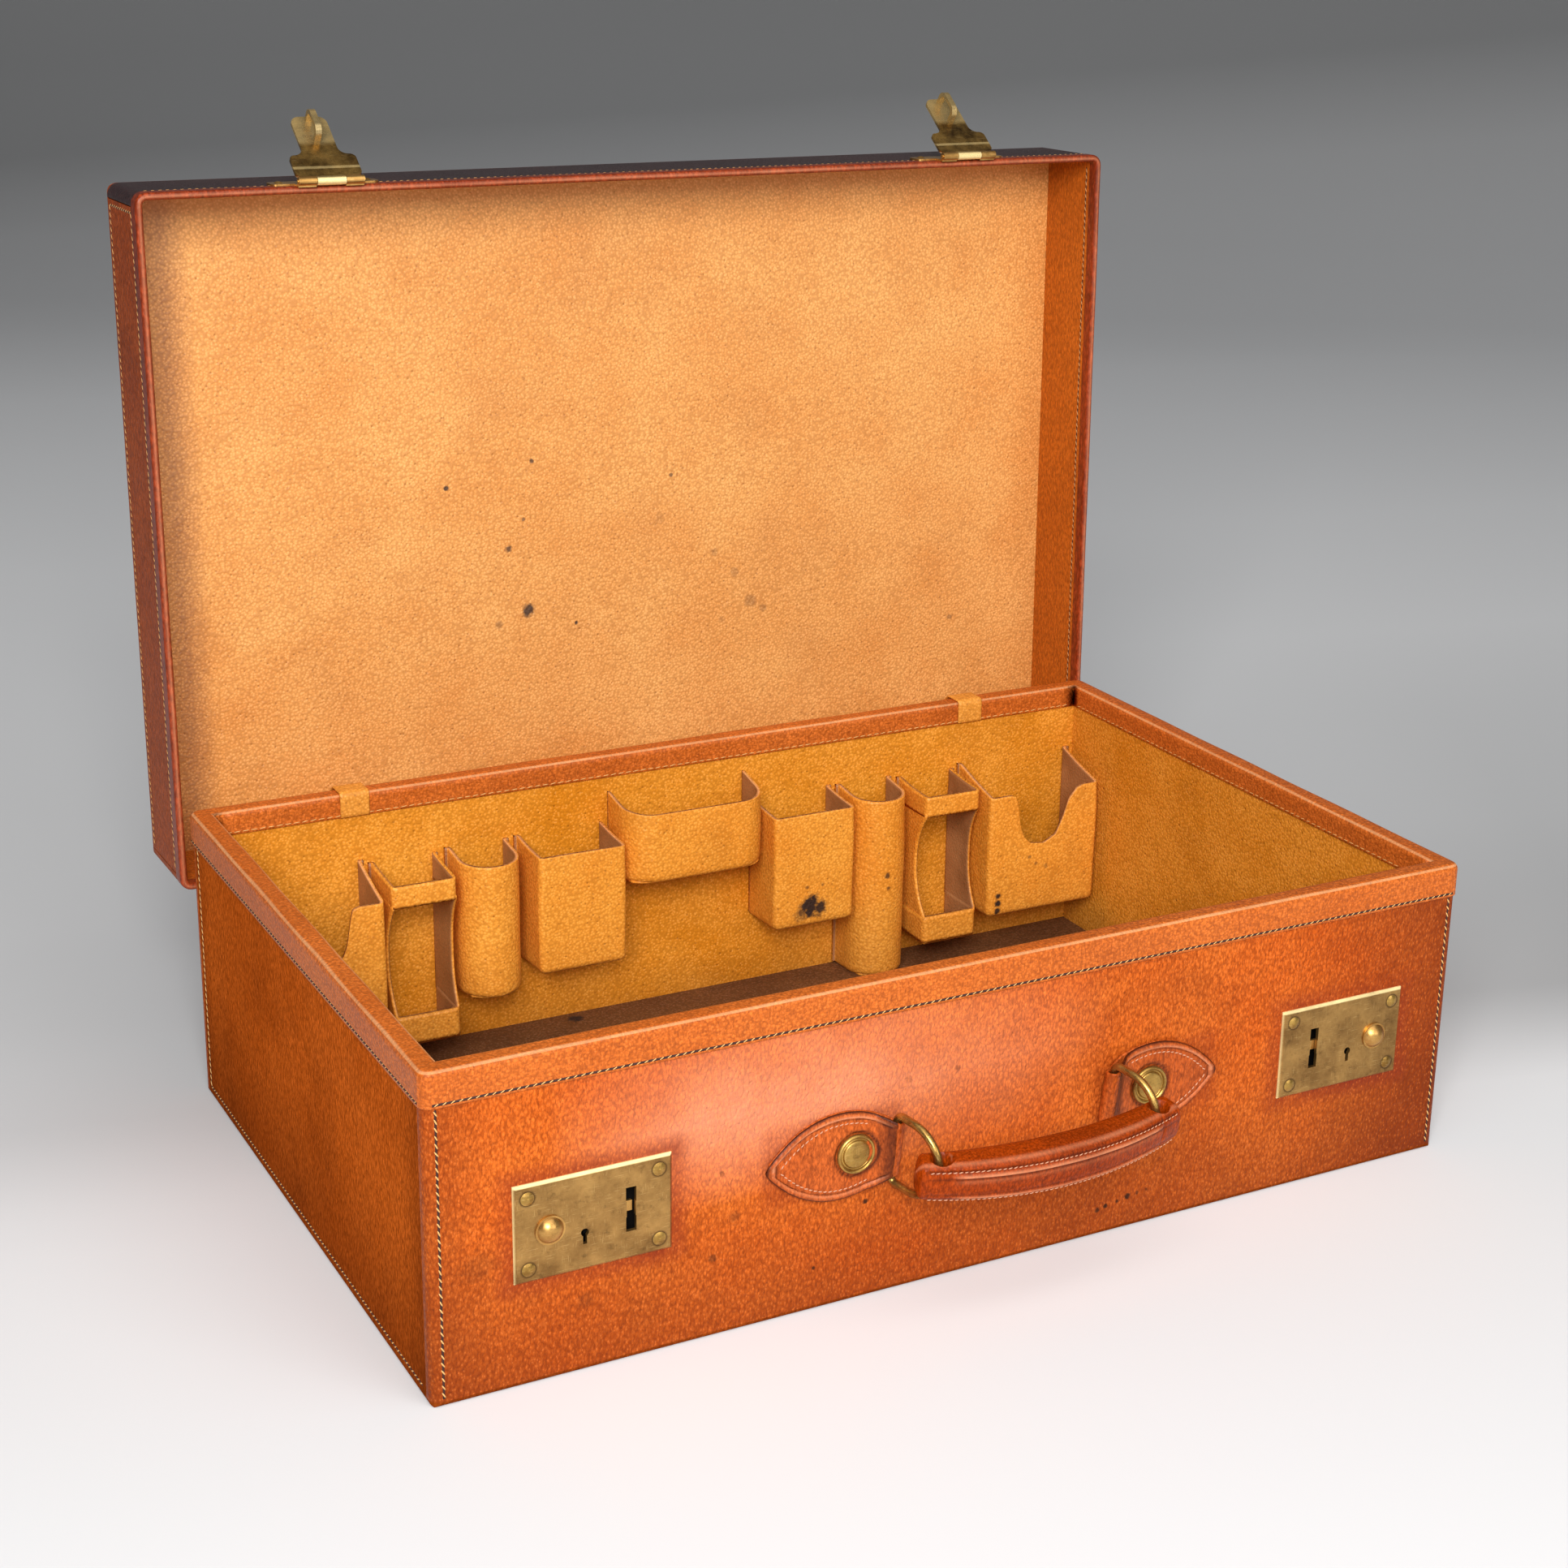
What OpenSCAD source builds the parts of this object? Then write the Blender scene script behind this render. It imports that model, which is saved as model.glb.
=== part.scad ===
// Leather suitcase with a fitted interior, shown open
// Lengths in mm. +X runs left to right, -Y is the front, +Z is up.
// The origin is the middle of the underside.

/* [Case] */
// Length of the base over its leather
case_l = 560; // [420:1:700]
// Depth of the base, front to back, over its leather
case_d = 354; // [280:1:420]
// Height of the base with its rim binding
case_h = 161; // [140:1:220]
// Radius of the upright corners
corner_r = 5; // [3.5:0.1:8]
// Radius of the edges of the base's underside and the lid's top
edge_r = 2.4; // [0.5:0.1:2.4]

/* [Walls] */
// Thickness of the outer leather
leather = 2.5; // [2.4:0.1:3]
// Thickness of the wall boards
board = 5.5; // [5:0.1:8]
// Thickness of the lining leather
lining = 2; // [1:0.1:3]
// Thickness of the floor board
floor_board = 3; // [2:0.1:6]
// Thickness of the floor's lining
floor_lining = 1; // [0.6:0.1:2]
// How far the front and back leather run round the corners
wrap = 7; // [6:0.1:14]
// Width of the groove where two pieces of leather meet
seam_gap = 0.6; // [0.3:0.1:1.5]

/* [Rim binding] */
// Thickness of the leather strip folded over the rim
binding_t = 1; // [0.6:0.1:1.5]
// Height of the strip outside
binding_out = 17; // [10:0.5:24]
// Height of the strip inside
binding_in = 13; // [8:0.5:20]
// Radius of the rim's top edges
binding_r = 2.2; // [1:0.1:2.3]

/* [Lid] */
// Outer depth of the lid tray
lid_depth = 59; // [56:0.5:80]
// Height of the lid's edge when it is closed
lid_edge_z = 114; // [112:0.5:125]
// How far the lid stands open
lid_open = 91; // [80:1:100]
// Thickness of the lid's outer leather
lid_leather = 2; // [1.5:0.1:3]
// Thickness of the leather facing inside the lid's walls
lid_facing_t = 1.6; // [1:0.1:3]
// Thickness of the lid's panel board
lid_board_t = 3; // [2:0.1:5]
// Thickness of the lid's lining
lid_lining_t = 1.5; // [0.8:0.1:3]
// Gap at each end between the base's leather and the lid
lid_gap_side = 1.8; // [1.5:0.1:4]
// Gap behind the base's leather
lid_gap_back = 1.3; // [1.3:0.1:3]
// Gap in front of the base's leather, which lets the lid's edge swing over the rim
lid_gap_front = 4.2; // [4.1:0.1:7]
// Height of the rounded welt along the lid's edge
welt_h = 3; // [2:0.1:5]
// Radius of the welt's edges
welt_r = 1.5; // [0.5:0.1:1.7]

/* [Hinge and stays] */
// Thickness of the leather hinge strip
hinge_t = 1.2; // [0.8:0.1:2]
// How far the hinge strip stops short of the base's ends
hinge_short = 14; // [8:1:60]
// Height of the hinge strip on the base
hinge_leg = 15; // [10:1:30]
// Width of the hinge strip on the lid
hinge_leaf = 16; // [8:1:30]
// Inner radius of the hinge strip's bend
hinge_bend = 3; // [1:0.1:3.4]
// Distance from the middle to each stay
stay_x = 193.5; // [100:0.5:240]
// Width of a stay
stay_w = 16.5; // [10:0.5:30]
// Thickness of a stay
stay_t = 1.2; // [0.8:0.1:2]
// How far a stay runs into the lid
stay_run = 46; // [20:1:50]

/* [Pockets] */
// Thickness of the pocket leather
pocket_t = 2; // [1.5:0.1:3]
// Inner length of the case that the pockets' places and widths are given for
pocket_row = 540; // [500:1:580]
// Middle of the row of pockets
pocket_x = -2; // [-3:0.5:1]
// Large end pockets: distance from the middle, width, depth, lower edge, back top, front top
large_pocket = [227.75, 76.5, 40, 34, 122.5, 111];
// Bottle pockets, in the same order
bottle_pocket = [165.5, 37, 36, 23, 120, 117];
// Round pockets, in the same order
tube_pocket = [122.75, 34.5, 34, 40, 121.5, 118.5];
// Square pockets, in the same order
box_pocket = [73, 52, 35, 49, 122, 119];
// Middle pocket, in the same order
tray_pocket = [0, 87, 35, 92, 139.5, 133.5];
// Radius of the square pockets' front corners
box_pocket_r = 3; // [2.2:0.1:10]
// Radius of the middle pocket's front corners
tray_pocket_r = 20; // [10:0.5:30]
// Radius of the notch in a large pocket's front
notch_r = 14.5; // [8:0.5:20]
// Width of the notch at the pocket's top edge
notch_w = 38; // [30:0.5:50]
// Height of the notch's lowest point
notch_z = 76.7; // [60:0.1:95]
// How far the notch stands from the pocket's middle, towards the middle of the case
notch_x = 3.5; // [0:0.1:6]
// Lower edge of a bottle pocket's window
window_low = 41; // [32:0.5:60]
// Upper edge of a bottle pocket's window
window_high = 104.5; // [80:0.5:108]
// How far a bottle pocket's window is cut into its sides
window_in = 11; // [4:0.5:16]

/* [Locks] */
// How far locks and hasps stand right of the middle
lock_shift = 3; // [-5:0.5:5]
// Distance between the middles of the lock plates
lock_pitch = 413; // [300:1:460]
// Height of the lock plates' middle
lock_z = 75.5; // [60:0.5:76]
// Width of a lock plate
plate_w = 75.5; // [70:0.5:90]
// Height of a lock plate
plate_h = 47.5; // [42:0.5:60]
// Thickness of a lock plate
plate_t = 2; // [1:0.1:3]
// Width of a lock plate's bevel
plate_bevel = 1.2; // [0.4:0.1:2]
// Distance of the nails from the plate's edges
nail_inset = 6.5; // [4:0.5:7]
// Radius of a nail's head
nail_head_r = 3.2; // [2:0.1:4]
// Radius of a nail's shank
nail_r = 1.1; // [0.8:0.1:1.5]
// Length of a nail under its head
nail_len = 7; // [5:0.1:9]
// Length of a lock case
lock_case_l = 68; // [66:0.5:72]
// Height of a lock case
lock_case_h = 26; // [25:0.5:28]
// Depth of a lock case
lock_case_d = 7.6; // [7.2:0.1:7.8]
// Wall of a lock case
lock_case_t = 0.8; // [0.5:0.1:1]
// Clearance round a lock case in the wall
lock_case_fit = 0.2; // [0.1:0.05:0.5]
// Distance from a plate's middle to the staple slot, towards the middle of the case
slot_x = 17.6; // [15:0.1:20]
// Width of the staple slot
slot_w = 5; // [4.6:0.1:6]
// Width of the staple slot's waist
slot_waist = 4.4; // [4:0.1:5]
// Length of the staple slot
slot_l = 21.6; // [20:0.1:22]
// Distance from a plate's middle to the keyhole
keyhole_x = 4.6; // [3:0.1:8]
// Height of the keyhole's round part, from the plate's middle
keyhole_z = -5.4; // [-7:0.1:-4]
// Radius of the keyhole
keyhole_r = 1.9; // [1.2:0.1:2.5]
// Length of the keyhole's slit
keyhole_slit = 5.6; // [3:0.1:6]
// Distance from a plate's middle to the sliding knob
knob_x = 21; // [19:0.1:22]
// Radius of the knob
knob_r = 6.2; // [5:0.1:6.5]
// How far the knob stands out
knob_h = 4.6; // [3:0.1:6]
// Radius of the collar under the knob
collar_r = 7; // [6:0.1:7.5]
// Radius of the knob's stem
stem_r = 2; // [1.5:0.1:2.5]
// Travel of the bolt
bolt_travel = 4; // [3.6:0.1:4.2]
// Thickness of the bolt
bolt_t = 1.5; // [1:0.1:1.6]
// Gap between the bolt and the plate's back
bolt_gap = 0.3; // [0.2:0.05:0.4]
// Height of the bolt's nose
bolt_h = 5; // [3:0.1:6]
// Gap round the stem in its slot
stem_fit = 0.3; // [0.2:0.05:0.5]

/* [Hasps] */
// Distance of the hinge pin from the lid's front face
pin_out = 3; // [2.8:0.1:4]
// How far the hinge pin lies below the lid's edge
pin_drop = 2; // [1:0.1:3]
// Radius of the hinge pin
pin_r = 1; // [0.8:0.05:1.3]
// Running clearance of the leaf on its pin
pin_fit = 0.05; // [0.02:0.01:0.1]
// Radius of the knuckles
knuckle_r = 2.2; // [2:0.1:2.6]
// Width of the hinge over its knuckles
knuckle_w = 34.5; // [30:0.5:40]
// Width of the leaf's middle knuckle
knuckle_mid = 15; // [10:0.5:20]
// Gap between two knuckles
knuckle_gap = 0.3; // [0.2:0.05:0.5]
// Thickness of the hinge plate on the lid
ear_t = 1.2; // [0.8:0.1:1.5]
// Width of the hinge plate over its ears
ear_w = 57; // [50:0.5:64]
// Where the ears start, measured from the pin
ear_low = 8; // [6:0.5:10]
// Where the ears end, measured from the pin
ear_high = 20; // [16:0.5:24]
// Thickness of the leaf
leaf_t = 1.6; // [1.2:0.1:1.8]
// Width of the leaf
leaf_w = 35; // [30:0.5:40]
// Length of the leaf's wide part
leaf_wide = 18; // [14:0.5:20]
// Width of the tongue
tongue_w = 19; // [14:0.5:24]
// Distance from the pin to the tongue's tip
leaf_l = 46; // [45:0.1:47]
// Radius of the leaf's neck
neck_r = 5; // [3:0.1:7]
// Lean of the closed leaf towards the case
leaf_lean = 9.2; // [8:0.1:9.4]
// How far the leaf is swung back when the lid stands open
leaf_back = 151; // [120:1:170]
// Where the staple starts, measured from the pin
staple_low = 26.5; // [26:0.1:27]
// Where the staple ends, measured from the pin
staple_high = 44.5; // [44:0.1:45]
// How far the staple stands out of the leaf
staple_out = 9.2; // [8.6:0.1:9.3]
// Thickness of the staple's strip
staple_t = 2.2; // [1.5:0.1:2.4]
// Width of the staple's strip
staple_w = 3.2; // [2:0.1:3.4]
// Radius of a rivet's head
rivet_r = 2.4; // [1.8:0.1:3]

/* [Handle] */
// How far the handle's fittings stand right of the middle
handle_shift = 5.5; // [-6:0.5:6]
// Height of the handle's fittings
handle_z = 78; // [60:0.5:90]
// Droop of the rings and the handle
handle_droop = 10; // [0:1:14]
// Distance between the folds that hold the rings
fold_pitch = 120; // [100:1:140]
// Distance between the tips of the leather tabs
tab_span = 251; // [240:1:260]
// Widest height of a tab
tab_h = 44; // [36:0.5:50]
// Distance from a tab's tip to its widest place
tab_tip = 33; // [28:0.5:36]
// Thickness of a tab
tab_t = 2.8; // [2:0.1:3]
// Height of the fold round a ring's bar
fold_h = 28; // [26:0.5:30]
// Clearance of a ring's bar in its fold
fold_fit = 0.3; // [0.3:0.05:0.6]
// Gap between the fold's round back and the front of the case
fold_gap = 0.2; // [0.1:0.05:0.5]
// Step from the fold's end out to the leaf's root
root_step = 0.6; // [0.4:0.1:1]
// Distance between the studs
stud_span = 163.5; // [156:0.5:170]
// How far the studs stand right of the middle
stud_shift = 8.5; // [-6:0.5:10]
// Radius of a stud's dish
stud_r = 10; // [8:0.1:11]
// Radius of a stud's button
stud_button_r = 6.8; // [5:0.1:7]
// Radius of the rings' wire
wire_r = 2; // [1.5:0.1:2.2]
// Radius of a ring's corners
ring_corner = 3.5; // [3:0.1:4]
// Gap between a ring's corner and the end of the fold
ring_gap = 1.1; // [0.8:0.1:1.5]
// Distance from a ring's bar to its far end
ring_depth = 28; // [26:0.5:32]
// Turn of the rings at rest, towards the right
ring_turn = 19; // [0:1:30]
// Thickness of the handle's ends
grip_t = 15; // [13:0.1:16]
// Height of the handle's ends
grip_h = 19.5; // [14:0.5:20]
// Thickness of the handle's middle
belly_t = 18; // [16.5:0.1:20]
// Height of the handle's middle
belly_h = 23; // [20.5:0.5:24]
// Radius of the handle's curve
grip_bend = 205; // [180:1:260]
// How far the handle runs past each ring
grip_end = 11.5; // [8:0.1:12]
// Radius of the handle's long edges
grip_r = 6; // [2:0.1:7]
// Radius of the two ridges along the handle
ridge_r = 0.9; // [0.5:0.1:1.4]
// Thickness of the handle's core
core_t = 6; // [4:0.1:7]
// Height of the handle's core
core_h = 10; // [6:0.1:11]
// Clearance of a ring in the handle
grip_fit = 0.3; // [0.3:0.05:0.6]

/* [Hidden] */
$fn = 48;
hl = case_l / 2;
hd = case_d / 2;
core_w = leather + board;
wall = core_w + lining;
board_z = leather + floor_board;
floor_z = board_z + floor_lining;
row_k = (case_l - 2 * wall) / pocket_row;
wall_top = case_h - binding_t;
wrap_y = hd - wrap;
end_y = wrap_y - seam_gap;
lid_wall = lid_leather + lid_facing_t;
lid_out_side = hl + lid_gap_side + lid_wall;
lid_out_front = hd + lid_gap_front + lid_wall;
lid_out_back = hd + lid_gap_back + lid_wall;
lid_l = 2 * lid_out_side;
lid_d = lid_out_front + lid_out_back;
lid_mid_y = (lid_out_back - lid_out_front) / 2;
lid_top = lid_edge_z + lid_depth;
lid_skin_z = lid_top - leather;
lid_board_z = lid_skin_z - lid_board_t;
lid_lining_z = lid_board_z - lid_lining_t;
welt_z = lid_edge_z + welt_h;
lid_corner_r = corner_r + 1;
pin_y = -lid_out_front - pin_out;
pin_z = lid_edge_z - pin_drop;
hasp_x = lock_pitch / 2 - slot_x;
slot_z = 0.8;
bolt_z = pin_z - (staple_low + staple_high) / 2 * cos(leaf_lean) - lock_z;
case_in_x = lock_case_l / 2 - lock_case_t;
block_t = 2.5;
finger_w = 2.4;
finger_r = 7.4;
finger_gap = 0.3;
fold_r = wire_r + fold_fit + tab_t;
fold_out = fold_r + fold_gap;
fold_y = -hd - fold_out;
ring_half = fold_h / 2 + ring_gap + ring_corner;
grip_x = handle_shift + ring_depth * sin(ring_turn);
grip_y = fold_y - ring_depth * cos(ring_turn);
grip_arc = asin(fold_pitch / 2 / grip_bend);
grip_tip = grip_arc + grip_end / grip_bend * 180 / PI;
grip_mid_y = grip_y + grip_bend * cos(grip_arc);
belly_x = [for (i = [-1, 1]) (grip_bend + i * grip_t / 2) * sin(grip_tip)];
belly_s = [for (i = [-1, 1]) grip_bend + i * belly_t / 2 - (grip_bend + i * grip_t / 2) * cos(grip_tip)];
belly_r = [for (i = [0, 1]) (belly_x[i] * belly_x[i] + belly_s[i] * belly_s[i]) / (2 * belly_s[i])];
belly_y = [for (i = [0, 1]) belly_r[i] - grip_bend - (2 * i - 1) * belly_t / 2];
rise_s = (belly_h - grip_h) / 2;
rise_r = (belly_x[1] * belly_x[1] + rise_s * rise_s) / (2 * rise_s);
big = 2 * case_l;

// A rectangle with round corners
module round_rect(x, y, r) {
    square([x - 2 * r, y], center = true);
    square([x, y - 2 * r], center = true);
    for (i = [-1, 1]) for (j = [-1, 1])
        translate([i * (x / 2 - r), j * (y / 2 - r)])
        circle(r);
}

// A rectangle standing on the X axis with round lower corners
module dish_rect(x, y, r) {
    translate([-x / 2, r])
        square([x, y - r]);
    translate([-x / 2 + r, 0])
        square([x - 2 * r, 2 * r]);
    for (i = [-1, 1])
        translate([i * (x / 2 - r), r])
        circle(r);
}

// The base's outline moved in by some distance, between two heights
module base_prism(inset, low, high) {
    translate([0, 0, low])
        linear_extrude(high - low)
        round_rect(case_l - 2 * inset, case_d - 2 * inset, corner_r - inset);
}

// The lid's outline, closed, moved in by some distance, between two heights
module lid_prism(inset, low, high) {
    translate([0, lid_mid_y, low])
        linear_extrude(high - low)
        round_rect(lid_l - 2 * inset, lid_d - 2 * inset, lid_corner_r - inset);
}

// A slab with soft lower edges
module soft_slab(x, y, h, r_plan, r_edge) {
    intersection() {
        linear_extrude(h)
            round_rect(x, y, r_plan);
        rotate([90, 0, 0])
            linear_extrude(y + 2, center = true)
            dish_rect(x, h + r_edge, r_edge);
        rotate([90, 0, 90])
            linear_extrude(x + 2, center = true)
            dish_rect(y, h + r_edge, r_edge);
    }
}

// A box given by its lowest and highest corner
module span(a, b) {
    translate(a)
        cube(b - a);
}

// Outline of a frame's hole: it opens out at the bottom by the frame's edge radius
module flare(w, h, r) {
    translate([-w / 2, -1])
        square([w, h + 2]);
    for (i = [0, 1])
        mirror([i, 0])
        difference() {
            translate([w / 2 - 0.01, -1])
                square([r + 0.01, r + 1]);
            translate([w / 2 + r, r])
                circle(r);
        }
}

// Frame with soft lower edges inside and outside, in one piece
module soft_frame(x, y, across, h, r) {
    difference() {
        intersection() {
            rotate([90, 0, 0])
                linear_extrude(y, center = true)
                dish_rect(x, h, r);
            rotate([90, 0, 90])
                linear_extrude(x, center = true)
                dish_rect(y, h, r);
        }
        intersection() {
            rotate([90, 0, 0])
                linear_extrude(y, center = true)
                flare(x - 2 * across, h, r);
            rotate([90, 0, 90])
                linear_extrude(x, center = true)
                flare(y - 2 * across, h, r);
        }
    }
}

// Places a fitting in a lock's frame: +X away from the case's middle, +Y into the wall
module at_lock(side) {
    translate([lock_shift + side * lock_pitch / 2, -hd, lock_z])
        mirror([side < 0 ? 1 : 0, 0, 0])
        children();
}

// Places things at a lock plate's four nails
module at_nails(side) {
    at_lock(side)
        for (i = [-1, 1]) for (j = [-1, 1])
            translate([i * (plate_w / 2 - nail_inset), 0, j * (plate_h / 2 - nail_inset)])
            rotate([-90, 0, 0])
            children();
}

// The hole through leather and board for a lock's case
module lock_recess(side) {
    at_lock(side)
        span([-lock_case_l / 2 - lock_case_fit, -1, -lock_case_h / 2 - lock_case_fit],
            [lock_case_l / 2 + lock_case_fit, wall, lock_case_h / 2 + lock_case_fit]);
}

// Everything that is cut out of the front wall for the two locks
module lock_cuts() {
    for (side = [-1, 1]) {
        lock_recess(side);
        at_nails(side)
            translate([0, 0, -1])
            cylinder(r = nail_r, h = nail_len - plate_t + 1);
    }
}

// Base leather
module base_skin(low, high) {
    difference() {
        base_prism(0, low, high);
        base_prism(leather, low - 1, high + 1);
    }
}

module base_front() {
    color("sienna")
        difference() {
            intersection() {
                base_skin(leather, wall_top);
                span([-big, -big, 0], [big, -wrap_y, big]);
            }
            lock_cuts();
        }
}

module base_back() {
    color("sienna")
        intersection() {
            base_skin(leather, wall_top);
            span([-big, wrap_y, 0], [big, big, big]);
        }
}

module base_end(side) {
    color("sienna")
        span([side < 0 ? -hl : hl - leather, -end_y, leather],
            [side < 0 ? leather - hl : hl, end_y, wall_top]);
}

module base_left() {
    base_end(-1);
}

module base_right() {
    base_end(1);
}

module base_bottom() {
    color("saddlebrown")
        soft_slab(case_l, case_d, leather, corner_r, edge_r);
}

// Boards under the leather
module carcass_front() {
    color("burlywood")
        difference() {
            intersection() {
                base_prism(leather, board_z, wall_top);
                span([-big, -big, 0], [big, core_w - hd, big]);
            }
            lock_cuts();
        }
}

module carcass_back() {
    color("burlywood")
        intersection() {
            base_prism(leather, board_z, wall_top);
            span([-big, hd - core_w, 0], [big, big, big]);
        }
}

module carcass_end(side) {
    color("burlywood")
        span([side < 0 ? leather - hl : hl - core_w, core_w - hd, board_z],
            [side < 0 ? core_w - hl : hl - leather, hd - core_w, wall_top]);
}

module carcass_left() {
    carcass_end(-1);
}

module carcass_right() {
    carcass_end(1);
}

module carcass_floor() {
    color("burlywood")
        base_prism(leather, leather, board_z);
}

// Strip folded over the rim: an outer leg, a rounded top and an inner leg
module rim_binding() {
    x = case_l + 2 * binding_t;
    y = case_d + 2 * binding_t;
    color("sienna")
        difference() {
            intersection() {
                translate([0, 0, case_h])
                    mirror([0, 0, 1])
                    soft_frame(x, y, wall + 2 * binding_t, binding_out, binding_r);
                linear_extrude(case_h)
                    round_rect(x, y, corner_r + binding_t);
            }
            difference() {
                base_prism(0, 0, wall_top);
                span([wall - hl, wall - hd, -1], [hl - wall, hd - wall, case_h]);
            }
            base_prism(0, -1, case_h - binding_in);
        }
}

// Lining
module lining_long(side) {
    color("goldenrod")
        span([core_w - hl, side < 0 ? core_w - hd : hd - wall, board_z],
            [hl - core_w, side < 0 ? wall - hd : hd - core_w, wall_top]);
}

module lining_end(side) {
    color("goldenrod")
        span([side < 0 ? core_w - hl : hl - wall, wall - hd, board_z],
            [side < 0 ? wall - hl : hl - core_w, hd - wall, wall_top]);
}

module lining_front() {
    lining_long(-1);
}

module lining_back() {
    lining_long(1);
}

module lining_left() {
    lining_end(-1);
}

module lining_right() {
    lining_end(1);
}

module lining_floor() {
    color("goldenrod")
        span([wall - hl, wall - hd, board_z], [hl - wall, hd - wall, floor_z]);
}

// Pockets, moulded from one piece of leather and open towards the back lining
// Plan of a pocket: straight at the back, round at the front corners
module pocket_plan(w, d, r) {
    intersection() {
        translate([-w / 2, -d])
            square([w, d]);
        union() {
            translate([-w / 2, r - d])
                square([w, d]);
            translate([r - w / 2, -d])
                square([w - 2 * r, d]);
            for (i = [-1, 1])
                translate([i * (w / 2 - r), r - d])
                circle(r);
        }
    }
}

module pocket(size, side, low, r) {
    depth = size[2];
    mouth = size[4];
    translate([pocket_x + side * size[0] * row_k, hd - wall, 0])
        difference() {
            translate([0, 0, low])
                linear_extrude(mouth - low)
                pocket_plan(size[1] * row_k, depth, r);
            translate([0, 1, low + pocket_t])
                linear_extrude(mouth)
                pocket_plan(size[1] * row_k - 2 * pocket_t, depth - pocket_t + 1, r - pocket_t);
            rotate([90, 0, 90])
                linear_extrude(size[1] + 2, center = true)
                polygon([[0, mouth], [0, mouth + 9], [-depth - 9, mouth + 9],
                    [-depth - 9, size[5]], [-depth, size[5]]]);
        }
}

// Large pocket: a notch in its front lets a hand reach what it holds
module pocket_large(side) {
    top = large_pocket[5];
    color("goldenrod")
        difference() {
            pocket(large_pocket, side, large_pocket[3], box_pocket_r);
            translate([pocket_x + side * (large_pocket[0] * row_k - notch_x), hd - wall - large_pocket[2] - 1, 0])
                rotate([90, 0, 0])
                mirror([0, 0, 1])
                linear_extrude(pocket_t + box_pocket_r) {
                    translate([0, notch_z + notch_r])
                        circle(notch_r);
                    polygon([[-notch_r, notch_z + notch_r], [notch_r, notch_z + notch_r],
                        [notch_w / 2, top + 1], [-notch_w / 2, top + 1]]);
                }
        }
}

module pocket_large_left() {
    pocket_large(-1);
}

module pocket_large_right() {
    pocket_large(1);
}

// Bottle pocket: a window hollows its front and curves into its sides
module pocket_bottle(side) {
    rise = (window_high - window_low) / 2;
    straight = pocket_t + 0.5;
    sag = window_in - straight;
    bow = (rise * rise + sag * sag) / (2 * sag);
    front = hd - wall - bottle_pocket[2];
    color("goldenrod")
        difference() {
            pocket(bottle_pocket, side, bottle_pocket[3], box_pocket_r);
            translate([pocket_x + side * bottle_pocket[0] * row_k, front, (window_high + window_low) / 2])
                rotate([90, 0, 90])
                linear_extrude(bottle_pocket[1] + 2, center = true)
                union() {
                    translate([-1, -rise])
                        square([straight + 1, 2 * rise]);
                    intersection() {
                        translate([window_in - bow, 0])
                            circle(bow, $fn = 160);
                        translate([straight - 0.01, -rise])
                            square([window_in, 2 * rise]);
                    }
                }
        }
}

module pocket_bottle_left() {
    pocket_bottle(-1);
}

module pocket_bottle_right() {
    pocket_bottle(1);
}

module pocket_tube_left() {
    color("goldenrod")
        pocket(tube_pocket, -1, tube_pocket[3], tube_pocket[1] * row_k / 2 - 0.05);
}

// The right round pocket reaches the floor
module pocket_tube_right() {
    color("goldenrod")
        pocket(tube_pocket, 1, floor_z, tube_pocket[1] * row_k / 2 - 0.05);
}

module pocket_box_left() {
    color("goldenrod")
        pocket(box_pocket, -1, box_pocket[3], box_pocket_r);
}

module pocket_box_right() {
    color("goldenrod")
        pocket(box_pocket, 1, box_pocket[3], box_pocket_r);
}

module pocket_tray() {
    color("goldenrod")
        pocket(tray_pocket, 0, tray_pocket[3], tray_pocket_r);
}

// Turns a piece that is drawn on the closed lid to where the open lid has it
module opened() {
    translate([0, lid_out_back, lid_edge_z])
        rotate([-lid_open, 0, 0])
        translate([0, -lid_out_back, -lid_edge_z])
        children();
}

// Strap over the rim that stops the lid: inner leg, saddle and run into the lid
module stay(side) {
    inner = hd - wall - binding_t;
    outer = hd + binding_t;
    foot = lid_edge_z + lid_wall + stay_t;
    tip = lid_out_back + stay_run;
    fall = atan((case_h - foot) / (tip - outer));
    color("peru")
        translate([side * stay_x - stay_w / 2, 0, 0])
        rotate([90, 0, 90])
        linear_extrude(stay_w)
        polygon([[inner - stay_t, case_h - binding_in], [inner, case_h - binding_in],
            [inner, case_h], [outer, case_h], [tip - stay_t / tan(fall), foot - stay_t],
            [tip, foot - stay_t], [tip, foot], [outer + stay_t, case_h + stay_t],
            [inner - stay_t, case_h + stay_t]]);
}

module stay_left() {
    stay(-1);
}

module stay_right() {
    stay(1);
}

// Leather hinge: a leg on the base's back, a bend and a leaf under the open lid's back wall
module hinge_strip() {
    top = lid_edge_z - 0.45;
    bend_z = top - hinge_t - hinge_bend;
    bend_y = hd + hinge_t + hinge_bend;
    color("saddlebrown")
        rotate([90, 0, 90])
        linear_extrude(case_l - 2 * hinge_short, center = true) {
            translate([hd, bend_z - hinge_leg])
                square([hinge_t, hinge_leg]);
            intersection() {
                difference() {
                    translate([bend_y, bend_z])
                        circle(hinge_bend + hinge_t);
                    translate([bend_y, bend_z])
                        circle(hinge_bend);
                }
                translate([hd, bend_z])
                    square([hinge_bend + hinge_t, hinge_bend + hinge_t]);
            }
            translate([bend_y, top - hinge_t])
                square([hinge_leaf, hinge_t]);
        }
}

// Lock plate with its staple slot, keyhole and the knob's slot
module slot_shape() {
    translate([-slot_x, slot_z]) {
        square([slot_waist, slot_l], center = true);
        for (j = [-1, 1])
            translate([0, j * slot_l / 3])
            square([slot_w, slot_l / 3], center = true);
    }
}

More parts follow.
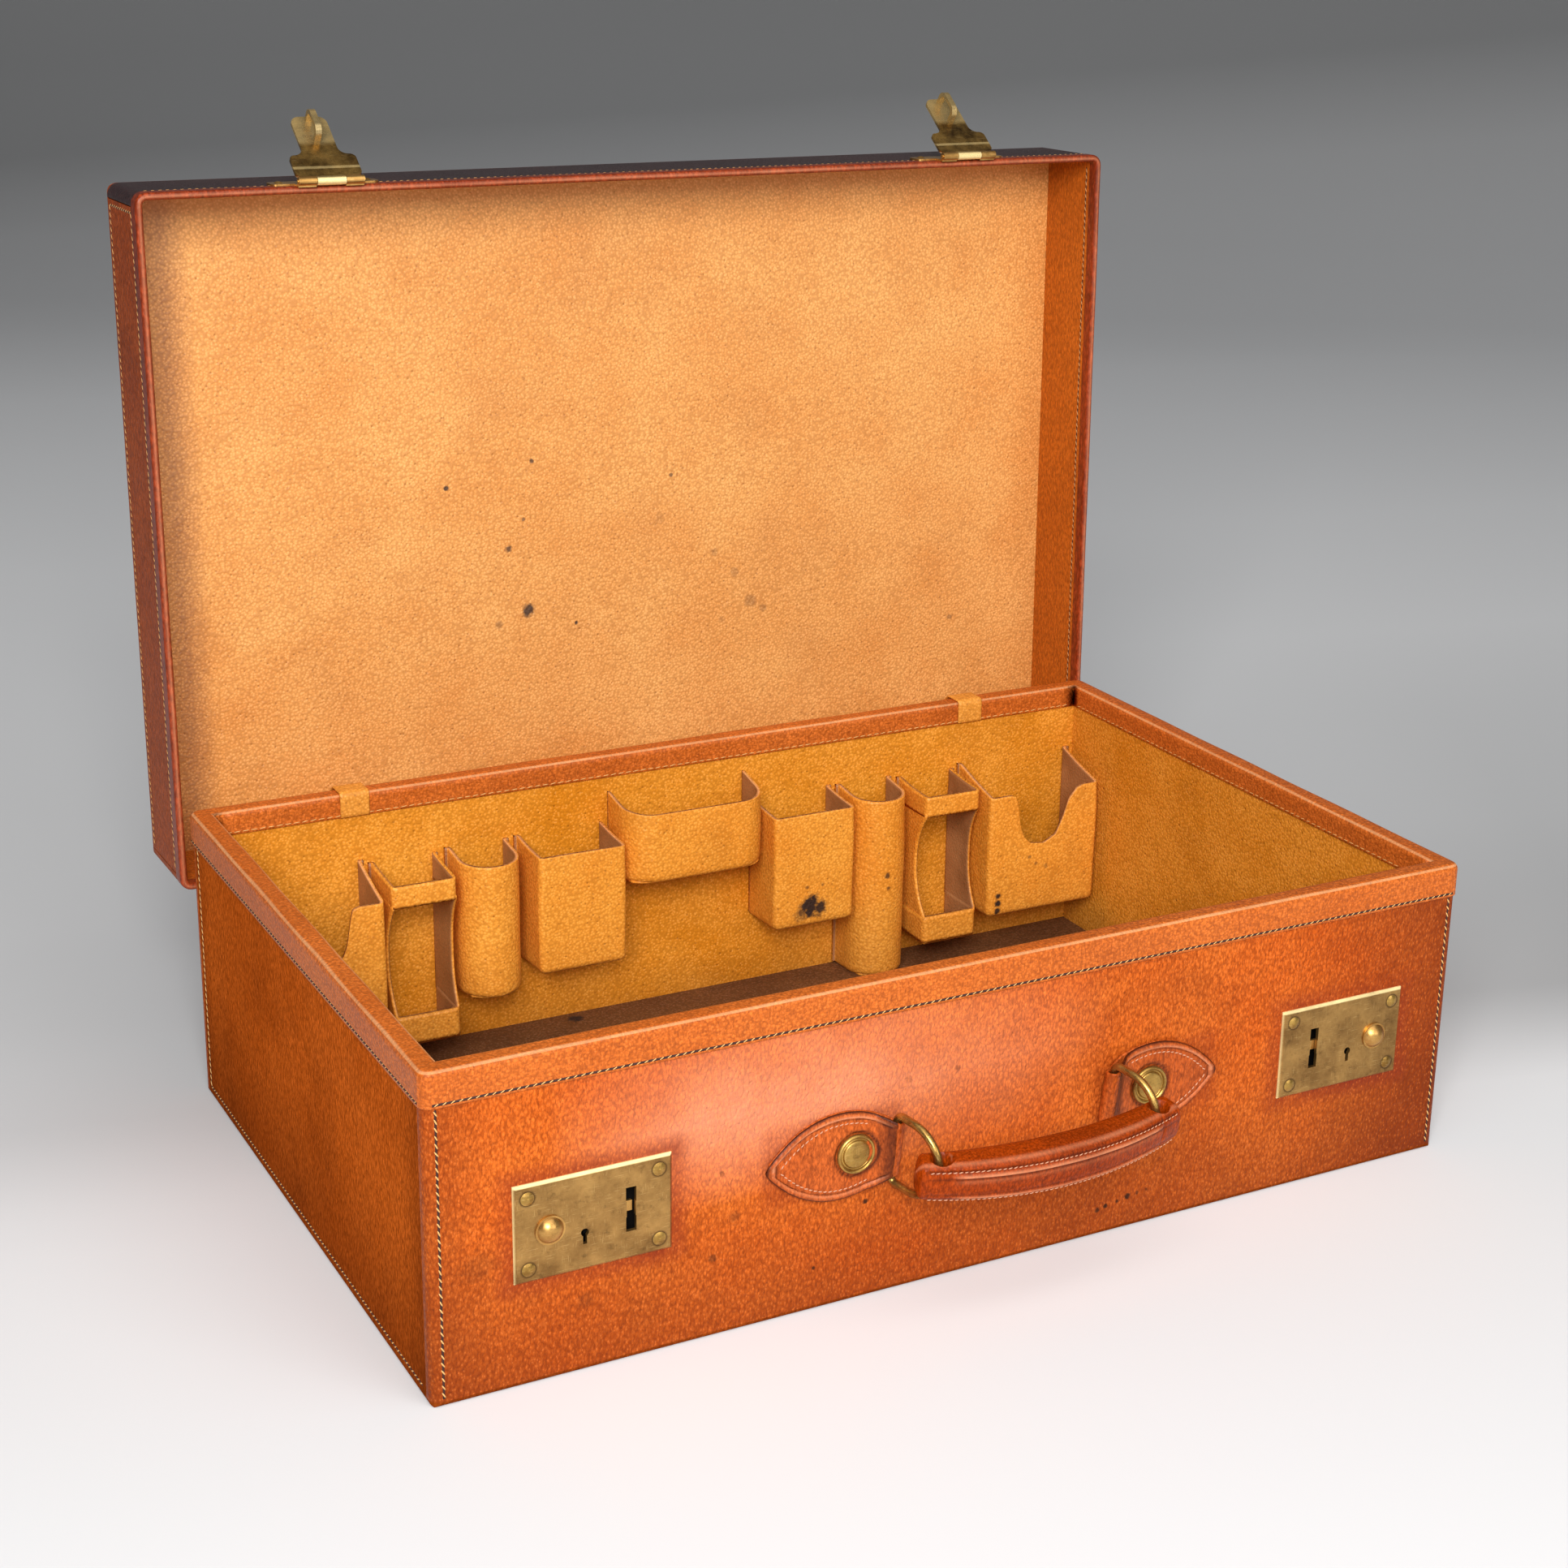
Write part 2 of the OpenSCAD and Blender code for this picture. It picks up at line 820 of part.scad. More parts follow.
module keyhole_shape() {
    translate([keyhole_x, keyhole_z]) {
        circle(keyhole_r);
        translate([-keyhole_r / 2, -keyhole_slit])
            square([keyhole_r, keyhole_slit]);
    }
}

module lock_plate(side) {
    long = [[-plate_w / 2, 0], [plate_w / 2, 0], [plate_w / 2, plate_t / 3],
        [plate_w / 2 - plate_bevel, plate_t], [plate_bevel - plate_w / 2, plate_t],
        [-plate_w / 2, plate_t / 3]];
    tall = [[-plate_h / 2, 0], [plate_h / 2, 0], [plate_h / 2, plate_t / 3],
        [plate_h / 2 - plate_bevel, plate_t], [plate_bevel - plate_h / 2, plate_t],
        [-plate_h / 2, plate_t / 3]];
    color("gold")
        difference() {
            at_lock(side)
                rotate([90, 0, 0])
                difference() {
                    intersection() {
                        rotate([90, 0, 0])
                            linear_extrude(plate_h, center = true)
                            polygon(long);
                        rotate([90, 0, 90])
                            linear_extrude(plate_w, center = true)
                            polygon(tall);
                    }
                    translate([0, 0, -1])
                        linear_extrude(plate_t + 2) {
                            slot_shape();
                            keyhole_shape();
                            for (x = [knob_x, knob_x + bolt_travel])
                                translate([x, 0])
                                circle(stem_r + stem_fit);
                            translate([knob_x, -stem_r - stem_fit])
                                square([bolt_travel, 2 * (stem_r + stem_fit)]);
                        }
                }
            at_nails(side)
                translate([0, 0, -plate_t - 1])
                cylinder(r = nail_r, h = plate_t + 2);
        }
}

module lock_plate_left() {
    lock_plate(-1);
}

module lock_plate_right() {
    lock_plate(1);
}

// Open-fronted box let into the wall behind a plate
module lock_case(side) {
    color("silver")
        at_lock(side)
        difference() {
            span([-lock_case_l / 2, 0, -lock_case_h / 2], [lock_case_l / 2, lock_case_d, lock_case_h / 2]);
            span([-case_in_x, -1, lock_case_t - lock_case_h / 2],
                [case_in_x, lock_case_d - lock_case_t, lock_case_h / 2 - lock_case_t]);
        }
}

module lock_case_left() {
    lock_case(-1);
}

module lock_case_right() {
    lock_case(1);
}

// Low dome of a given radius and height
module dome(r, h) {
    ball = (r * r + h * h) / (2 * h);
    rotate_extrude()
        intersection() {
            translate([0, h - ball])
                circle(ball, $fn = 240);
            square([r, h]);
        }
}

module lock_nails() {
    color("gold")
        for (side = [-1, 1])
            at_nails(side)
            translate([0, 0, -plate_t]) {
                cylinder(r = nail_r, h = nail_len);
                mirror([0, 0, 1])
                    dome(nail_head_r, 1);
            }
}

// Bolt: a strip behind the plate, a nose that enters the staple, a block for the cam,
// and the stem and knob outside
module lock_bolt(side) {
    face = plate_t;
    nose = slot_x + staple_w / 2 - 0.2;
    tail = knob_x + 5;
    block = keyhole_x - finger_w / 2 - finger_gap;
    color("gold")
        at_lock(side) {
            span([-nose, bolt_gap, bolt_z - bolt_h / 2], [tail, bolt_gap + bolt_t, bolt_z + bolt_h / 2]);
            span([knob_x - 5, bolt_gap, -bolt_h], [tail, bolt_gap + bolt_t, bolt_h]);
            span([block - block_t, bolt_gap, bolt_z - 1.6], [block, bolt_gap + 4.2, bolt_z + 1.6]);
            translate([knob_x, bolt_gap + bolt_t, 0])
                rotate([90, 0, 0]) {
                    cylinder(r = stem_r, h = bolt_gap + bolt_t + face + 1);
                    translate([0, 0, bolt_gap + bolt_t + face + 0.05])
                        cylinder(r = collar_r, h = 0.8);
                    translate([0, 0, bolt_gap + bolt_t + face + 0.8])
                        dome(knob_r, knob_h - 0.8);
                }
        }
}

module lock_bolt_left() {
    lock_bolt(-1);
}

module lock_bolt_right() {
    lock_bolt(1);
}

// Flat zigzag spring between the bolt's tail and the case's end
module lock_spring(side) {
    start = knob_x + 5;
    step = (case_in_x - start) / 4;
    strip = 0.5;
    reach = 3.2;
    color("silver")
        at_lock(side)
        translate([0, bolt_gap + bolt_t + 0.4, 0])
        rotate([90, 0, 0])
        linear_extrude(bolt_t)
        union() {
            translate([start, -reach])
                square([strip, 2 * reach]);
            translate([case_in_x - strip, -reach])
                square([strip, 2 * reach]);
            for (k = [1, 2, 3])
                translate([start + k * step - strip / 2, -reach])
                square([strip, 2 * reach]);
            for (k = [0, 2])
                translate([start + k * step - (k > 0 ? strip / 2 : 0), reach - strip])
                square([step + strip, strip]);
            for (k = [1, 3])
                translate([start + k * step - strip / 2, -reach])
                square([step + strip / 2, strip]);
        }
}

module lock_spring_left() {
    lock_spring(-1);
}

module lock_spring_right() {
    lock_spring(1);
}

// Cam on the keyhole's axis: its finger points away from the bolt until it is turned up
module key_cam(side) {
    deep = lock_case_d - lock_case_t;
    low = bolt_gap + bolt_t + 0.4;
    color("silver")
        at_lock(side)
        translate([keyhole_x, deep, keyhole_z])
        rotate([90, 0, 0])
        difference() {
            union() {
                cylinder(r = 3.2, h = deep - low);
                translate([0, -finger_w / 2, 0])
                    cube([finger_r, finger_w, deep - low]);
            }
            translate([-keyhole_r / 2, -keyhole_slit, 1])
                cube([keyhole_r, keyhole_slit, deep]);
        }
}

module key_cam_left() {
    key_cam(-1);
}

module key_cam_right() {
    key_cam(1);
}

// Leather tab: a pointed leaf sewn to the front, folded round a ring's bar
module tab_shape() {
    tip = (tab_span - fold_pitch) / 2;
    half = tab_h / 2;
    point_r = (tab_tip * tab_tip + half * half) / (2 * half);
    back = tip - tab_tip;
    drop = half - fold_h / 2 - root_step;
    side_r = (back * back + drop * drop) / (2 * drop);
    translate([back, 0])
        intersection() {
            translate([0, half - point_r])
                circle(point_r);
            translate([0, point_r - half])
                circle(point_r);
            translate([0, -half])
                square([tab_tip + 1, tab_h]);
        }
    translate([back, 0])
        intersection() {
            translate([0, half - side_r])
                circle(side_r);
            translate([0, side_r - half])
                circle(side_r);
            translate([-back, -half])
                square([back, tab_h]);
        }
}

// A tab in its own frame: fold's axis at the origin, tip towards +X
module tab(side) {
    color("sienna")
        translate([handle_shift + side * fold_pitch / 2, -hd, handle_z])
        mirror([side < 0 ? 1 : 0, 0, 0])
        difference() {
            union() {
                rotate([90, 0, 0])
                    linear_extrude(tab_t)
                    tab_shape();
                intersection() {
                    translate([0, -fold_out, 0])
                        rotate([handle_droop, 0, 0])
                        cylinder(r = fold_r, h = fold_h, center = true);
                    span([-big, -big, -big], [big, -fold_gap, big]);
                }
                span([-fold_r / 4, -fold_out, -fold_h / 3], [fold_r * 0.85, 0, fold_h / 3]);
            }
            translate([0, -fold_out, 0])
                rotate([handle_droop, 0, 0])
                cylinder(r = wire_r + fold_fit, h = 2 * fold_h, center = true);
            translate([(stud_span - fold_pitch) / 2 + side * (stud_shift - handle_shift), 1, 0])
                rotate([90, 0, 0])
                cylinder(r = nail_r, h = tab_t + 2);
        }
}

module tab_left() {
    tab(-1);
}

module tab_right() {
    tab(1);
}

// Brass studs: a shallow dish with a button in it
module tab_studs() {
    color("gold")
        for (side = [-1, 1])
            translate([stud_shift + side * stud_span / 2, -hd - tab_t, handle_z])
            rotate([90, 0, 0]) {
                difference() {
                    dome(stud_r, 1.8);
                    translate([0, 0, 1])
                        cylinder(r = stud_button_r + 0.8, h = 3);
                }
                cylinder(r = stud_button_r, h = 1.6);
                mirror([0, 0, 1])
                    cylinder(r = nail_r, h = tab_t);
            }
}

// D-shaped ring: bar in the fold, two corners, two legs and a half circle
module ring(side) {
    leg = ring_depth - ring_half;
    color("gold")
        translate([handle_shift + side * fold_pitch / 2, fold_y, handle_z])
        rotate([handle_droop, 0, 0])
        rotate([0, 0, ring_turn])
        union() {
            translate([0, 0, ring_corner - ring_half])
                cylinder(r = wire_r, h = 2 * (ring_half - ring_corner));
            for (j = [0, 1])
                mirror([0, 0, j]) {
                    translate([0, -ring_corner, ring_half - ring_corner])
                        rotate([90, 0, 90])
                        rotate_extrude(angle = 90)
                        translate([ring_corner, 0])
                        circle(wire_r);
                    translate([0, -ring_corner, ring_half])
                        rotate([90, 0, 0])
                        cylinder(r = wire_r, h = leg - ring_corner);
                }
            translate([0, -leg, 0])
                rotate([90, 0, 90])
                rotate([0, 0, 90])
                rotate_extrude(angle = 180)
                translate([ring_half, 0])
                circle(wire_r);
        }
}

module ring_left() {
    ring(-1);
}

module ring_right() {
    ring(1);
}

// Space that a ring needs in the handle: a waist at the wire, wider above and below
module ring_channel() {
    rotate_extrude()
        intersection() {
            difference() {
                translate([0, -grip_h])
                    square([ring_half, 2 * grip_h]);
                translate([ring_half, 0])
                    circle(ring_half - wire_r - grip_fit);
            }
            translate([0, 0.6 - grip_h])
                square([grip_t, 2 * grip_h - 1.2]);
        }
}

// Places a section on the handle's curve and sweeps it between two angles from the middle
module grip_sweep(half_angle) {
    translate([grip_x, grip_mid_y, handle_z])
        rotate([0, 0, -90 - half_angle])
        rotate_extrude(angle = 2 * half_angle)
        translate([grip_bend, 0])
        children();
}

// Turns the handle down about the line through both folds
module hung() {
    translate([0, fold_y, handle_z])
        rotate([handle_droop, 0, 0])
        translate([0, -fold_y, -handle_z])
        children();
}

// Seen from above: an arc in front and a flatter one behind, thickest in the middle
module grip_plan() {
    difference() {
        translate([0, belly_y[1]])
            circle(belly_r[1], $fn = 360);
        translate([0, belly_y[0]])
            circle(belly_r[0], $fn = 360);
    }
}

// Seen from the front: two shallow arcs, highest in the middle
module grip_rise() {
    intersection() {
        translate([0, belly_h / 2 - rise_r])
            circle(rise_r, $fn = 1440);
        translate([0, rise_r - belly_h / 2])
            circle(rise_r, $fn = 1440);
    }
}

// Ridge along the handle's front, at a height from its middle
module grip_ridge(height) {
    half = asin((belly_x[1] - 16) / belly_r[1]);
    translate([grip_x, grip_mid_y + belly_y[1], handle_z])
        rotate([0, 0, -90 - half])
        rotate_extrude(angle = 2 * half)
        translate([belly_r[1], height])
        circle(ridge_r);
}

module handle_leather() {
    color("sienna")
        hung()
        difference() {
            union() {
                intersection() {
                    grip_sweep(grip_tip)
                        round_rect(belly_t, belly_h, grip_r);
                    translate([grip_x, grip_mid_y, handle_z])
                        linear_extrude(2 * belly_h, center = true)
                        grip_plan();
                    translate([grip_x, grip_y, handle_z])
                        rotate([90, 0, 0])
                        linear_extrude(grip_bend, center = true)
                        grip_rise();
                }
                for (j = [-1, 1])
                    grip_ridge(j * grip_h / 4.5);
            }
            grip_sweep(grip_arc * 0.8)
                round_rect(core_t, core_h, core_t / 2 - 0.5);
            for (side = [-1, 1])
                translate([grip_x + side * fold_pitch / 2, grip_y, handle_z])
                ring_channel();
        }
}

module handle_core() {
    color("tan")
        hung()
        grip_sweep(grip_arc * 0.8)
        round_rect(core_t, core_h, core_t / 2 - 0.5);
}

// Lid
module lid_skin() {
    difference() {
        lid_prism(0, welt_z, lid_skin_z);
        lid_prism(lid_leather, welt_z - 1, lid_skin_z + 1);
    }
}

module lid_panel() {
    color("sienna")
        opened()
        translate([0, lid_mid_y, lid_top])
        rotate([180, 0, 0])
        soft_slab(lid_l, lid_d, leather, lid_corner_r, edge_r);
}

module lid_front() {
    color("sienna")
        opened()
        difference() {
            intersection() {
                lid_skin();
                span([-big, -big, 0], [big, wrap - lid_out_front, big]);
            }
            at_rivets()
                translate([0, 0, -1])
                cylinder(r = nail_r, h = lid_leather + 1);
        }
}

module lid_back() {
    color("sienna")
        opened()
        intersection() {
            lid_skin();
            span([-big, lid_out_back - wrap, 0], [big, big, big]);
        }
}

module lid_end(side) {
    color("sienna")
        opened()
        span([side < 0 ? -lid_out_side : lid_out_side - lid_leather, wrap + seam_gap - lid_out_front, welt_z],
            [side < 0 ? lid_leather - lid_out_side : lid_out_side, lid_out_back - wrap - seam_gap, lid_skin_z]);
}

module lid_left() {
    lid_end(-1);
}

module lid_right() {
    lid_end(1);
}

module lid_board() {
    color("burlywood")
        opened()
        lid_prism(lid_leather, lid_board_z, lid_skin_z);
}

// Four strips of leather inside the lid's walls
module lid_facings() {
    x = lid_out_side - lid_leather;
    front = lid_leather - lid_out_front;
    back = lid_out_back - lid_leather;
    color("sienna")
        opened() {
            for (side = [-1, 1])
                intersection() {
                    lid_prism(lid_leather, welt_z, lid_board_z);
                    span([side < 0 ? -x : x - lid_facing_t, front + lid_facing_t, welt_z],
                        [side < 0 ? lid_facing_t - x : x, back - lid_facing_t, lid_board_z]);
                }
            intersection() {
                lid_prism(lid_leather, welt_z, lid_board_z);
                union() {
                    span([-x, front, welt_z], [x, front + lid_facing_t - 0.01, lid_board_z]);
                    span([-x, back - lid_facing_t + 0.01, welt_z], [x, back, lid_board_z]);
                }
            }
        }
}

module lid_lining() {
    color("goldenrod")
        opened()
        span([lid_wall - lid_out_side, lid_wall - lid_out_front, lid_lining_z],
            [lid_out_side - lid_wall, lid_out_back - lid_wall, lid_board_z]);
}

module lid_welt() {
    color("sienna")
        opened()
        intersection() {
            translate([0, lid_mid_y, lid_edge_z])
                soft_frame(lid_l, lid_d, lid_wall, welt_h, welt_r);
            lid_prism(0, lid_edge_z, welt_z);
        }
}

// Places a fitting in a hasp's frame: the pin's axis at the origin, the lid closed
module at_hasp(side) {
    translate([lock_shift + side * hasp_x, pin_y, pin_z])
        children();
}

module at_rivets() {
    for (side = [-1, 1]) for (i = [-1, 1])
        at_hasp(side)
        translate([i * (ear_w / 2 - 5), pin_out, (ear_low + ear_high) / 2])
        rotate([-90, 0, 0])
        children();
}

// Hinge plates on the lid: ears above, two knuckles on the pin below
module hasp_plates() {
    color("gold")
        opened()
        difference() {
            for (side = [-1, 1])
                at_hasp(side)
                difference() {
                    union() {
                        translate([0, pin_out, 0])
                            rotate([90, 0, 0])
                            linear_extrude(ear_t) {
                                translate([0, (ear_low + ear_high) / 2])
                                    round_rect(ear_w, ear_high - ear_low, 3);
                                translate([-knuckle_w / 2, 0])
                                    square([knuckle_w, ear_high]);
                            }
                        rotate([0, 90, 0])
                            cylinder(r = knuckle_r, h = knuckle_w, center = true);
                    }
                    span([-knuckle_mid / 2 - knuckle_gap, -9, -9],
                        [knuckle_mid / 2 + knuckle_gap, 9, knuckle_r + 1.6]);
                    rotate([0, 90, 0])
                        cylinder(r = pin_r, h = big, center = true);
                }
            at_rivets()
                translate([0, 0, -ear_t - 1])
                cylinder(r = nail_r, h = ear_t + 2);
        }
}

module hasp_rivets() {
    color("gold")
        opened()
        at_rivets()
        translate([0, 0, -ear_t]) {
            cylinder(r = nail_r, h = ear_t + lid_leather);
            mirror([0, 0, 1])
                dome(rivet_r, 1);
        }
}

module hasp_pins() {
    color("gold")
        opened()
        for (side = [-1, 1])
            at_hasp(side)
            rotate([0, 90, 0])
            cylinder(r = pin_r, h = knuckle_w + 1, center = true);
}

// Outline of the leaf, hanging down from the pin
module leaf_shape() {
    start = knuckle_r + 0.4;
    translate([0, -(start + leaf_wide) / 2])
        round_rect(leaf_w, leaf_wide - start, 3);
    translate([0, -(leaf_wide + leaf_l) / 2 + 2])
        round_rect(tongue_w, leaf_l - leaf_wide + 4, neck_r);
    difference() {
        translate([-tongue_w / 2 - neck_r, -leaf_wide - neck_r])
            square([tongue_w + 2 * neck_r, neck_r + 3]);
        for (i = [-1, 1])
            translate([i * (tongue_w / 2 + neck_r), -leaf_wide - neck_r])
            circle(neck_r);
    }
    translate([-knuckle_mid / 2, -start - 4])
        square([knuckle_mid, start + 4]);
}

// Loop on the leaf that drops through the lock plate's slot
module staple() {
    run = staple_high - staple_low;
    low = leaf_t / 2 - 0.2;
    translate([-staple_w / 2, 0, -staple_low])
        rotate([90, 0, 90])
        linear_extrude(staple_w)
        translate([low, 0])
        mirror([0, 1])
        difference() {
            translate([0, run / 2])
                intersection() {
                    round_rect(2 * (staple_out + 0.2), run, 5);
                    translate([0, -run / 2])
                        square([staple_out + 0.2, run]);
                }
            translate([-1, staple_t])
                intersection() {
                    translate([0, run / 2 - staple_t])
                        round_rect(2 * (staple_out + 1.2 - staple_t), run - 2 * staple_t, 3);
                    square([2 * staple_out, run]);
                }
        }
}

// Swinging leaf with its staple
module hasp(side) {
    color("gold")
        opened()
        at_hasp(side)
        rotate([leaf_lean - leaf_back, 0, 0])
        difference() {
            union() {
                translate([0, leaf_t / 2, 0])
                    rotate([90, 0, 0])
                    linear_extrude(leaf_t)
                    leaf_shape();
                rotate([0, 90, 0])
                    cylinder(r = knuckle_r, h = knuckle_mid, center = true);
                staple();
            }
            rotate([0, 90, 0])
                cylinder(r = pin_r + pin_fit, h = big, center = true);
        }
}

module hasp_left() {
    hasp(-1);
}

module hasp_right() {
    hasp(1);
}

base_front();
base_back();
base_left();
base_right();
base_bottom();
carcass_front();
carcass_back();
carcass_left();
carcass_right();
carcass_floor();
rim_binding();
lining_front();
lining_back();
lining_left();
lining_right();
lining_floor();
pocket_large_left();
pocket_bottle_left();
pocket_tube_left();
pocket_box_left();
pocket_tray();
pocket_box_right();
pocket_tube_right();
pocket_bottle_right();
pocket_large_right();
stay_left();
stay_right();
hinge_strip();
lock_plate_left();
lock_plate_right();
lock_case_left();
lock_case_right();
lock_nails();
lock_bolt_left();
lock_bolt_right();
lock_spring_left();
lock_spring_right();
key_cam_left();
key_cam_right();
tab_left();
tab_right();
tab_studs();
ring_left();
ring_right();
handle_leather();
handle_core();
lid_panel();
lid_front();
lid_back();
lid_left();
lid_right();
lid_board();
lid_facings();
lid_lining();
lid_welt();
hasp_plates();
hasp_rivets();
hasp_pins();
hasp_left();
hasp_right();
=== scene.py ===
import math
import bmesh
import bpy
import numpy as np
from mathutils import Matrix


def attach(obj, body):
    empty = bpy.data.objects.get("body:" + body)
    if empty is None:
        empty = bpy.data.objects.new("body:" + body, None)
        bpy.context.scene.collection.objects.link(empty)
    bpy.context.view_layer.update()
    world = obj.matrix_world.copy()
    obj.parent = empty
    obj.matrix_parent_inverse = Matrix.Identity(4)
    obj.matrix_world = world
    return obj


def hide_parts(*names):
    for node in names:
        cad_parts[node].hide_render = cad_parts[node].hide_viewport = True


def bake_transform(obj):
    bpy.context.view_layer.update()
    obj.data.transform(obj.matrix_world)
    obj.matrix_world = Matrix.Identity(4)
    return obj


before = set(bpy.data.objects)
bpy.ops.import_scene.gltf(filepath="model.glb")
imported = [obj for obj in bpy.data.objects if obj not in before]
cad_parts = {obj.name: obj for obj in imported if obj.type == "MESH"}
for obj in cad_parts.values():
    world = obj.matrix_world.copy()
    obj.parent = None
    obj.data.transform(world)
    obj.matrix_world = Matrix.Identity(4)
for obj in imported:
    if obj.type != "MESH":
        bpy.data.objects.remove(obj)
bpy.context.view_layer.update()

mm = 0.001
rng = np.random.default_rng(7)


# An object placed by its three axes and its position
def placed(name, data, axes, where):
    o = bpy.data.objects.new(name, data)
    bpy.context.scene.collection.objects.link(o)
    o.matrix_world = Matrix([[*(a[i] for a in axes), where[i]] for i in range(3)] + [[0, 0, 0, 1]])
    return o


# camera
# place = target + distance * back, where back points from the target to the lens
camera = {"turn": -28.87, "rise": 18.29, "roll": 1.18, "distance": 1363.8, "target": (13.8, 0.0, 215.97),
          "focal": 3258.64, "centre": (1036.87, 902.73), "pixels": 1932, "sensor": 36}
turn, rise, roll = (math.radians(camera[k]) for k in ("turn", "rise", "roll"))
back = np.array([math.sin(turn) * math.cos(rise), -math.cos(turn) * math.cos(rise), math.sin(rise)])
flat = np.array([math.cos(turn), math.sin(turn), 0.0])
lift = np.cross(back, flat)
right = math.cos(roll) * flat + math.sin(roll) * lift
up = -math.sin(roll) * flat + math.cos(roll) * lift
place = (np.array(camera["target"]) + camera["distance"] * back) * mm
lens = bpy.data.cameras.new("lens")
lens.sensor_width = camera["sensor"]
lens.lens = camera["focal"] / camera["pixels"] * camera["sensor"]
lens.shift_x = 0.5 - camera["centre"][0] / camera["pixels"]
lens.shift_y = camera["centre"][1] / camera["pixels"] - 0.5
lens.clip_start = 0.05
lens.clip_end = 60
bpy.context.scene.camera = placed("eye", lens, (right, up, back), place)
print("camera made")


# A node's output with operators, each of which adds one Math node
class Sock:
    def __init__(self, tree, out):
        self.tree, self.out = tree, out

    def calc(self, operation, *others):
        n = self.tree.nodes.new("ShaderNodeMath")
        n.operation = operation
        for i, v in enumerate((self,) + others):
            join(self.tree, v, n.inputs[i])
        return Sock(self.tree, n.outputs[0])

    def __add__(self, o): return self.calc("ADD", o)
    def __sub__(self, o): return self.calc("SUBTRACT", o)
    def __mul__(self, o): return self.calc("MULTIPLY", o)
    def top(self, o): return self.calc("MAXIMUM", o)
    def low(self, o): return self.calc("MINIMUM", o)
    def abs(self): return self.calc("ABSOLUTE")
    def power(self, o): return self.calc("POWER", o)

    # c below a, d above b, straight between them
    def ramp(self, a, b, c=0.0, d=1.0):
        n = self.tree.nodes.new("ShaderNodeMapRange")
        join(self.tree, self, n.inputs[0])
        for i, v in enumerate((a, b, c, d)):
            n.inputs[i + 1].default_value = v
        return Sock(self.tree, n.outputs[0])


# A link, a colour or a number into a socket
def join(tree, value, socket):
    if isinstance(value, Sock):
        tree.links.new(value.out, socket)
    elif isinstance(value, (tuple, list)) and len(value) == 3 and socket.type == "RGBA":
        socket.default_value = (*value, 1)
    else:
        socket.default_value = value


# sRGB 0..255 to linear 0..1
def tint(r, g, b):
    return tuple(((c / 255 + 0.055) / 1.055) ** 2.4 if c > 10 else c / 255 / 12.92 for c in (r, g, b))


# The same colour times a factor, plus an offset, up to 1
def toned(colour, factor, plus=0.0):
    return tuple(min(c * factor + plus, 1.0) for c in colour)


